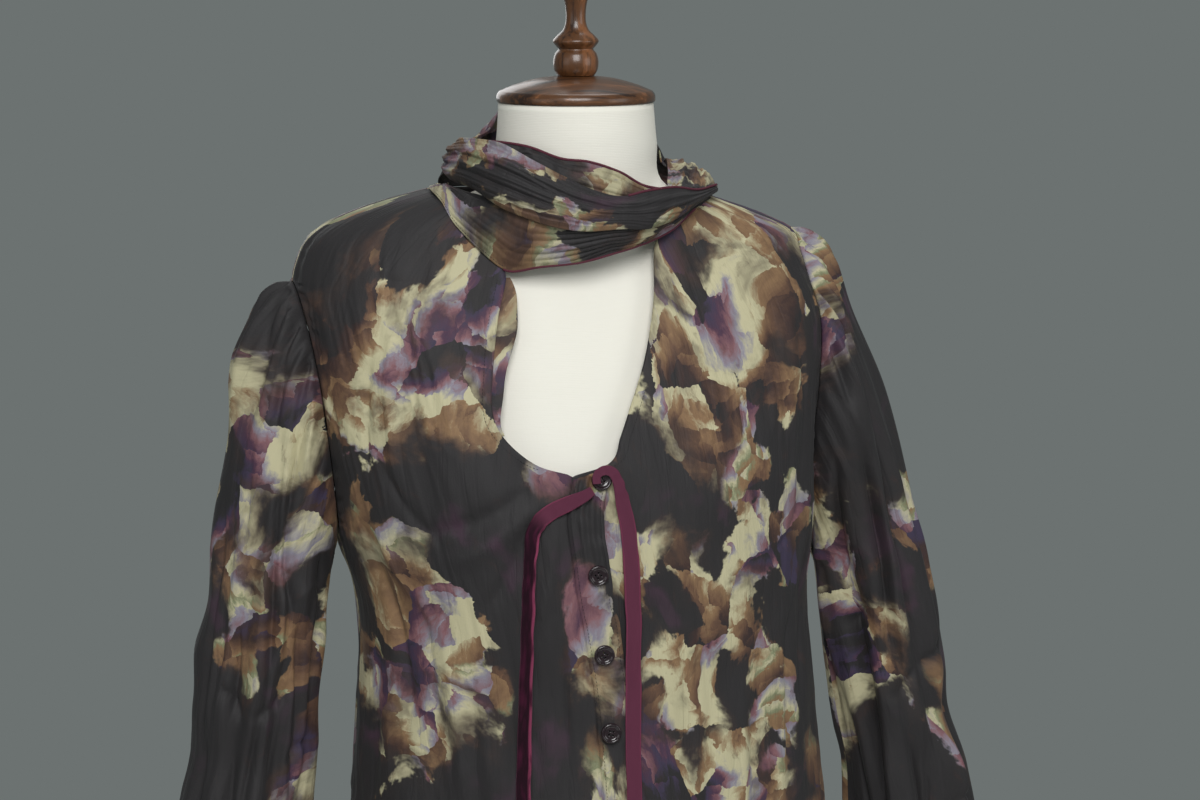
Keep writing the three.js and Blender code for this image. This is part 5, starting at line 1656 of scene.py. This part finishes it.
class BlouseSettings(bpy.types.PropertyGroup):
    """Sizes and colours of the blouse, its form and the studio."""

    cloth: length_setting("Cloth", "Thickness of the printed cloth", 0.0009, 0.0003)
    scarf: length_setting("Scarf", "Thickness of the scarf's doubled cloth", 0.0012, 0.0003)
    pitch: length_setting("Stitch pitch", "From one stitch to the next", 0.0026, 0.001)
    ground: colour_setting("Ground", "The print's charcoal ground", tint(29, 27, 30))
    ground_light: colour_setting("Light ground", "The ground where it is paler", tint(41, 39, 42))
    cream: colour_setting("Cream", "Lightest petals", tint(204, 197, 160))
    tan: colour_setting("Tan", "Warm petals", tint(146, 114, 80))
    brown: colour_setting("Brown", "Dark petals", tint(104, 74, 54))
    umber: colour_setting("Umber", "Strokes and hearts", tint(58, 36, 32))
    burnt: colour_setting("Burnt edge", "Blurred rims of the petals", tint(72, 50, 40))
    mauve: colour_setting("Mauve", "Pink petals", tint(136, 92, 98))
    lavender: colour_setting("Lavender", "Grey-violet petals", tint(146, 142, 156))
    plum: colour_setting("Plum", "Purple petals", tint(76, 44, 68))
    violet: colour_setting("Violet", "Blue-violet petals", tint(56, 46, 74))
    sage: colour_setting("Sage", "Muted green at a few petals' rims", tint(134, 140, 106))
    lint: colour_setting("Lint", "Pale fibre ends", tint(120, 116, 112))
    velvet: colour_setting("Velvet", "Pile of the ribbon", tint(38, 12, 26))
    velvet_lit: colour_setting("Lit velvet", "Pile that catches the light", tint(92, 28, 60))
    # This colour is both the selvedge's and the painted highlight along one edge of the pile
    ribbon_edge_and_highlight: colour_setting("Ribbon edge", "The ribbon's bright edge", tint(136, 60, 88))
    ribbon_back: colour_setting("Ribbon back", "The ribbon's matte woven back", tint(98, 48, 68))
    ribbon_back_dark: colour_setting("Ribbon back shade", "The back where it is worn", tint(82, 40, 57))
    binding: colour_setting("Binding", "Narrow binding of the scarf", tint(92, 34, 52))
    thread: colour_setting("Thread", "Topstitching", tint(22, 20, 24))
    button: colour_setting("Button", "Dark resin", tint(22, 14, 18))
    button_light: colour_setting("Button clouding", "Paler resin", tint(48, 32, 38))
    canvas: colour_setting("Canvas", "The form's cover", tint(250, 247, 236))
    canvas_shade: colour_setting("Canvas shade", "The cover where it is worn", tint(238, 233, 218))
    wood: colour_setting("Wood", "Turned wood", tint(92, 58, 32))
    wood_dark: colour_setting("Dark wood", "Grain lines", tint(44, 24, 14))
    wood_light: colour_setting("Light wood", "Paler figure", tint(136, 88, 54))
    backdrop: colour_setting("Backdrop", "Grey behind the part", tint(108, 114, 113))
    floor: colour_setting("Floor", "Pale floor under the stand", tint(214, 213, 210))
    light: bpy.props.FloatProperty(
        name="Light", description="Power of the main studio light", default=40.0, min=0, unit="POWER"
    )


FINISHES = {}

# Metres down a ribbon between which its pile side comes into view
RIBBON_TURN = (0.036, 0.052)
PAST_THE_RIBBON = (8.0, 9.0)


def finish_for(name):
    """A finish, made once."""
    settings = bpy.context.scene.blouse
    makers = {
        "print_cloth": lambda: printed_cloth(settings, "print_cloth", 0.78, 0.04),
        "scarf_cloth": lambda: printed_cloth(settings, "scarf_cloth", 0.98, 0.2),
        "velvet_turned": lambda: velvet_ribbon(settings, "velvet_turned", *RIBBON_TURN),
        "velvet_back": lambda: velvet_ribbon(settings, "velvet_back", *PAST_THE_RIBBON),
        "binding": lambda: plain_thread("binding", tuple(settings.binding)),
        "thread": lambda: plain_thread("thread", tuple(settings.thread)),
        "button_resin": lambda: button_finish(settings),
        "canvas": lambda: canvas_finish(settings),
        "turned_wood": lambda: walnut_finish(settings, "turned_wood", (1, 1, 0.06)),
        "board_wood": lambda: walnut_finish(settings, "board_wood", (0.06, 1, 1)),
    }
    if name not in FINISHES:
        FINISHES[name] = makers[name]()
    return FINISHES[name]


def finished(piece, slot, finish=None):
    """Gives a piece one finish: the one named by finish if given, else the one named by slot."""
    piece.data.materials.clear()
    piece.data.materials.append(finish_for(finish or slot))
    return piece


# Where each piece's flat cut lies on the printed cloth, in metres
PRINT_AT = {
    "front_right": (0.62, 0.31),
    "front_left": (1.75, 0.83),
    "back": (2.9, 0.1),
    "lap_band": (0.62, 0.31),
    "opening_facing": (2.36, 0.9),
    "sleeve_right": (3.3, 0.02),
    "sleeve_left": (4.15, 0.5),
    "scarf_lower": (2.3, 0.74),
    "scarf_inner": (5.91, 0.37),
    "scarf_upper": (7.3, 1.62),
    "scarf_back": (7.33, 1.11),
    "scarf_shoulder": (3.86, 1.18),
}


def cloth_piece(name, node, place, size, slot="print_cloth", **cut):
    """A printed cloth piece that stands for one CAD node."""
    settings = bpy.context.scene.blouse
    thickness = settings.scarf if slot == "scarf_cloth" else settings.cloth
    piece = laid_cloth(name, place, size, thickness / MM, PRINT_AT[node], **cut)
    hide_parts(node)
    return finished(piece, slot)


class BLOUSE_OT_fronts(bpy.types.Operator):
    """Lay the two front panels"""

    bl_idname = "blouse.fronts"
    bl_label = "Front panels"

    def execute(self, context):
        for side, word in SIDES:
            place = front_place(side)
            piece = cloth_piece(f"front_{word}_cloth", f"front_{word}", place, (110, 190), cut_by=front_cut)
            declare_cloth(place)
        return {"FINISHED"}


class BLOUSE_OT_back(bpy.types.Operator):
    """Lay the back"""

    bl_idname = "blouse.back"
    bl_label = "Back"

    def execute(self, context):
        piece = cloth_piece("back_cloth", "back", back_place, (150, 180), cut_by=back_cut)
        declare_cloth(back_place)
        return {"FINISHED"}


class BLOUSE_OT_opening(bpy.types.Operator):
    """Lay the lap band and the facing of the opening"""

    bl_idname = "blouse.opening"
    bl_label = "Lap band and facing"

    def execute(self, context):
        lap = cloth_piece("lap_cloth", "lap_band", lap_place, (22, 260), cut_by=front_cut)
        declare_cloth(lap_place)
        facing = cloth_piece("facing_cloth", "opening_facing", facing_place, (14, 60))
        declare_cloth(facing_place)
        return {"FINISHED"}


class BLOUSE_OT_sleeves(bpy.types.Operator):
    """Hang the two sleeves"""

    bl_idname = "blouse.sleeves"
    bl_label = "Sleeves"

    def execute(self, context):
        for side, word in SIDES:
            place, node = sleeve_place(side), f"sleeve_{word}"
            piece = cloth_piece(f"{node}_cloth", node, place, (190, 170), joined=True, cut_by=sleeve_cut)
            declare_cloth(place)
        return {"FINISHED"}


# Where along a stretch its bound edge starts and ends, and the edge: 0 the upper, 1 the lower
BINDINGS = {
    "scarf_lower": (0.4, 0.92, 1.0),
    "scarf_inner": (0.02, 0.98, 0.0),
    "scarf_upper": (0.66, 1.0, 0.0),
}
BINDING_RADIUS = 0.95


class BLOUSE_OT_scarf(bpy.types.Operator):
    """Wind the scarf collar and bind its edges"""

    bl_idname = "blouse.scarf"
    bl_label = "Scarf collar"

    def execute(self, context):
        for name in SCARF:
            place = scarf_place(name)
            size = (60 if name == "scarf_shoulder" else 150, 56)
            piece = cloth_piece(f"{name}_cloth", name, place, size, "scarf_cloth")
            if name in BINDINGS:
                start, end, edge = BINDINGS[name]
                u = np.linspace(start, end, 90)
                bound = tube(f"{name}_binding", place(u, np.full_like(u, edge)), BINDING_RADIUS)
                finished(bound, "binding")
            declare_cloth(place)
        return {"FINISHED"}


class BLOUSE_OT_ribbons(bpy.types.Operator):
    """Hang the velvet ribbon's two tails"""

    bl_idname = "blouse.ribbons"
    bl_label = "Ribbon ties"

    def execute(self, context):
        for name in RIBBONS:
            place = ribbon_place(name)
            piece = laid_cloth(f"{name}_velvet", place, (10, 220), RIBBON_THICKNESS)
            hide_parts(name)
            finished(piece, "velvet", "velvet_turned" if name == "ribbon_right" else "velvet_back")
            declare_cloth(place)
        return {"FINISHED"}


BUTTON_OUTLINE = (
    (6.6, 0.0),
    (7.3, 0.5),
    (7.6, 1.3),
    (7.55, 2.2),
    (7.15, 3.0),
    (6.6, 3.35),
    (6.0, 3.25),
    (5.5, 2.7),
    (5.0, 2.2),
    (4.2, 1.95),
    (3.0, 1.85),
    (1.5, 1.8),
)
HOLE_OFFSET = 1.45
HOLE_RADIUS = 0.72
BUTTON_TURN = 0.35
THREAD_REST = 1.95
BUTTON_THREAD = (2.9, 0.42)


def button_shape():
    """A dished button with a raised rim and four thread holes, in metres, its back on the origin."""
    body = spun("button_blank", BUTTON_OUTLINE, 48)
    cutter = bmesh.new()
    for x in (-HOLE_OFFSET, HOLE_OFFSET):
        for y in (-HOLE_OFFSET, HOLE_OFFSET):
            place = Matrix.Translation((x * MM, y * MM, 1.5 * MM))
            bmesh.ops.create_cone(
                cutter,
                cap_ends=True,
                segments=14,
                radius1=HOLE_RADIUS * MM,
                radius2=HOLE_RADIUS * MM,
                depth=5 * MM,
                matrix=place,
            )
    holes = bpy.data.objects.new("button_holes", mesh_from("button_holes", cutter, smooth=False))
    bpy.context.scene.collection.objects.link(holes)
    cut = body.modifiers.new("holes", "BOOLEAN")
    cut.object = holes
    cut.operation = "DIFFERENCE"
    cut.solver = "EXACT"
    pierced = bpy.data.meshes.new_from_object(body.evaluated_get(bpy.context.evaluated_depsgraph_get()))
    for unused in (body, holes):
        bpy.data.objects.remove(unused)
    return pierced


class BLOUSE_OT_buttons(bpy.types.Operator):
    """Sew on the buttons"""

    bl_idname = "blouse.buttons"
    bl_label = "Buttons"

    def execute(self, context):
        blank = button_shape()
        lines = []
        for number, (z, x) in enumerate(BUTTONS.rows, start=1):
            normal = Vector(body_normal(np.array(float(z)), front_angle(np.array(float(z)), x)))
            spot = Vector(on_front(np.array(float(x)), np.array(float(z)), BUTTON_OFF)) * MM
            turn = Matrix.Rotation(BUTTON_TURN * number, 4, "Z")
            place = Matrix.Translation(spot) @ normal.to_track_quat("Z", "Y").to_matrix().to_4x4() @ turn
            mesh = blank.copy()
            mesh.transform(place)
            piece = new_piece(f"button_{number}_pierced", mesh, f"button_{number}")
            finished(piece, "button_resin")
            for offset in (-HOLE_OFFSET, HOLE_OFFSET):
                spots = [Vector((offset, y, THREAD_REST)) * MM for y in (-HOLE_OFFSET, HOLE_OFFSET)]
                points = np.array([list((place @ spot) / MM) for spot in spots])
                lines.append((points, np.array([list(normal), list(normal)])))
        finished(stitched("button_threads", lines, 2 * HOLE_OFFSET, *BUTTON_THREAD), "thread")
        return {"FINISHED"}


STITCH = {"length": 1.9, "thread": 0.2, "out": 0.15}
HEM_INSET = 0.02
SCARF_SEAM_INSET = 0.05


def opening_line(side, inset, first, last):
    """A sewing line at a distance inside a front's inner edge."""
    x, z = front_edge(side, np.linspace(first, last, 160))
    x = x + side * inset
    return on_front(x, z, STITCH["out"]), body_normal(z, front_angle(z, x))


def sewing_line(place, u, v):
    """A sewing line on laid cloth."""
    u, v = np.broadcast_arrays(u, v)
    return place(u, v, STITCH["out"]), unit(place(u, v, 1.0) - place(u, v))


class BLOUSE_OT_stitching(bpy.types.Operator):
    """Sew the topstitching of the opening, the lap and the hem"""

    bl_idname = "blouse.stitching"
    bl_label = "Topstitching"

    def execute(self, context):
        settings = context.scene.blouse
        lines = [opening_line(LEFT, 7.5, 4.2, 15.6), opening_line(RIGHT, 6.5, 4.6, 15.4)]
        for u in (0.1, 0.9):
            lines.append(sewing_line(lap_place, u, np.linspace(0.01, 0.995, 260)))
        u = np.linspace(0.02, 0.98, 260)
        for side in (RIGHT, LEFT):
            lines.append(sewing_line(front_place(side), u, 1 - HEM_INSET))
            lines.append(sewing_line(sleeve_place(side), u, 1 - HEM_INSET))
        lines.append(sewing_line(back_place, u, 1 - HEM_INSET))
        seam = np.linspace(0.12, 0.4, 120)
        lines.append(sewing_line(scarf_place("scarf_lower"), seam, 1 - SCARF_SEAM_INSET))
        pitch = settings.pitch / MM
        piece = stitched("topstitching", lines, pitch, STITCH["length"], STITCH["thread"])
        finished(piece, "thread")
        return {"FINISHED"}


FORM_RADIUS = 0.15
FORM_GRID = (144, 170)


class BLOUSE_OT_dress_form(bpy.types.Operator):
    """Build the limbless form's canvas body"""

    bl_idname = "blouse.dress_form"
    bl_label = "Dress form"

    def execute(self, context):
        columns, rows = FORM_GRID
        u, v = np.meshgrid(np.linspace(0, 1, columns + 1), np.linspace(0, 1, rows + 1))
        points = form_place(u, v)
        turn = np.arctan2(points[..., 0], -points[..., 1])
        flat = np.stack([turn * FORM_RADIUS, points[..., 2] * MM], axis=-1)
        mesh = grid_mesh("form_canvas", points, flat)
        shaped = bmesh.new()
        shaped.from_mesh(mesh)
        bmesh.ops.remove_doubles(shaped, verts=shaped.verts, dist=JOIN_DISTANCE)
        bmesh.ops.holes_fill(shaped, edges=shaped.edges)
        bmesh.ops.recalc_face_normals(shaped, faces=shaped.faces)
        # The two ends are flat faces of many sides
        for face in shaped.faces:
            face.smooth = len(face.verts) == 4
        shaped.to_mesh(mesh)
        shaped.free()
        finished(new_piece("form_canvas", mesh, "form_body"), "canvas")
        return {"FINISHED"}


class BLOUSE_OT_turned_wood(bpy.types.Operator):
    """Turn the cap, finial, pole and base"""

    bl_idname = "blouse.turned_wood"
    bl_label = "Turned wood"

    def execute(self, context):
        cap = [(57.5, 0), (58.6, 0.4), (59, 1.6), (59, 4.4), (58.5, 5.9), *rounded(CAP[3:], 22)]
        boards = [
            spun("cap_turned", cap, 96, "form_cap", centre=NECK_CENTRE, base=CAP_Z),
            spun("base_turned", rounded(BASE, 60), 96, "stand_base"),
        ]
        pole = [(POLE_RADIUS - 0.6, POLE_Z[0]), (POLE_RADIUS, POLE_Z[0] + 0.6)]
        pole += [(POLE_RADIUS, POLE_Z[1] - 0.6), (POLE_RADIUS - 0.6, POLE_Z[1])]
        finial = rounded(FINIAL, 90)
        posts = [
            spun("finial_turned", finial, 48, "form_finial", centre=NECK_CENTRE, base=FINIAL_Z),
            spun("pole_turned", pole, 48, "stand_pole"),
        ]
        for piece in boards:
            finished(piece, "turned_wood", "board_wood")
        for piece in posts:
            finished(piece, "turned_wood")
        return {"FINISHED"}


FLOOR_RADIUS = 1.5

# Studio lights: place and size in metres, and power as a share of the light setting
LAMPS = (
    ("main_light", (-0.5, -2.7, 3.0), 1.7, 1.8),
    ("left_fill", (2.3, -2.0, 1.8), 1.6, 0.34),
    ("right_fill", (-2.6, -1.4, 1.9), 1.6, 0.14),
    ("top_light", (0.5, 1.0, 4.1), 1.4, 0.5),
    ("back_light", (-0.4, 3.3, 2.1), 1.8, 0.45),
)
LAMP_AIM = (0, 0, 1.15)

# The camera's place and the point it looks at, which moves aside along the camera's own level line
CAMERA_SPOT = (-580.61, -2328.71, 1607)
CAMERA_AIM = (0, 0, 1239)
CAMERA_ASIDE = 19.69
CAMERA_TURN = -14
LENS = 96.18


class BLOUSE_OT_stage(bpy.types.Operator):
    """Set the floor, lights and camera"""

    bl_idname = "blouse.stage"
    bl_label = "Studio"

    def execute(self, context):
        settings = context.scene.blouse
        shaped = bmesh.new()
        bmesh.ops.create_circle(shaped, cap_ends=True, segments=96, radius=FLOOR_RADIUS)
        floor = bpy.data.objects.new("floor", mesh_from("floor", shaped, smooth=False))
        context.scene.collection.objects.link(floor)
        pale = Finish("floor_pale").set(Base_Color=tuple(settings.floor), Roughness=0.8)
        floor.data.materials.append(pale)

        world = bpy.data.worlds.new("studio")
        world.use_nodes = True
        world.node_tree.nodes["Background"].inputs["Color"].default_value = (*settings.backdrop, 1)
        context.scene.world = world
        context.scene.view_settings.view_transform = "Standard"

        for name, spot, size, share in LAMPS:
            data = bpy.data.lights.new(name, "AREA")
            data.size = size
            data.energy = settings.light * share
            lamp = bpy.data.objects.new(name, data)
            lamp.location = spot
            lamp.rotation_euler = (Vector(LAMP_AIM) - Vector(spot)).to_track_quat("-Z", "Y").to_euler()
            context.scene.collection.objects.link(lamp)

        turn = math.radians(CAMERA_TURN)
        aim = Vector(CAMERA_AIM) + Vector((math.cos(turn), math.sin(turn), 0)) * CAMERA_ASIDE
        data = bpy.data.cameras.new("camera")
        data.lens = LENS
        data.sensor_width = 36
        camera = bpy.data.objects.new("camera", data)
        camera.location = Vector(CAMERA_SPOT) * MM
        camera.rotation_euler = (aim - Vector(CAMERA_SPOT)).to_track_quat("-Z", "Y").to_euler()
        context.scene.collection.objects.link(camera)
        context.scene.camera = camera
        return {"FINISHED"}


OPERATORS = (
    BLOUSE_OT_stage,
    BLOUSE_OT_dress_form,
    BLOUSE_OT_turned_wood,
    BLOUSE_OT_fronts,
    BLOUSE_OT_back,
    BLOUSE_OT_opening,
    BLOUSE_OT_sleeves,
    BLOUSE_OT_scarf,
    BLOUSE_OT_ribbons,
    BLOUSE_OT_buttons,
    BLOUSE_OT_stitching,
)


class BLOUSE_PT_panel(bpy.types.Panel):
    """The blouse's pieces and settings"""

    bl_idname = "BLOUSE_PT_panel"
    bl_label = "Scarf collar blouse"
    bl_space_type = "VIEW_3D"
    bl_region_type = "UI"
    bl_category = "Blouse"

    def draw(self, context):
        for operator in OPERATORS:
            self.layout.operator(operator.bl_idname)
        for name in BlouseSettings.__annotations__:
            self.layout.prop(context.scene.blouse, name)


CLASSES = (BlouseSettings, *OPERATORS, BLOUSE_PT_panel)


def register():
    """Registers the settings, operators and panel."""
    for made in CLASSES:
        bpy.utils.register_class(made)
    bpy.types.Scene.blouse = bpy.props.PointerProperty(type=BlouseSettings)


def unregister():
    """Removes them again."""
    del bpy.types.Scene.blouse
    for made in reversed(CLASSES):
        bpy.utils.unregister_class(made)


def main():
    """Builds every piece."""
    register()
    for operator in OPERATORS:
        group, name = operator.bl_idname.split(".")
        getattr(getattr(bpy.ops, group), name)()


if __name__ == "__main__":
    main()
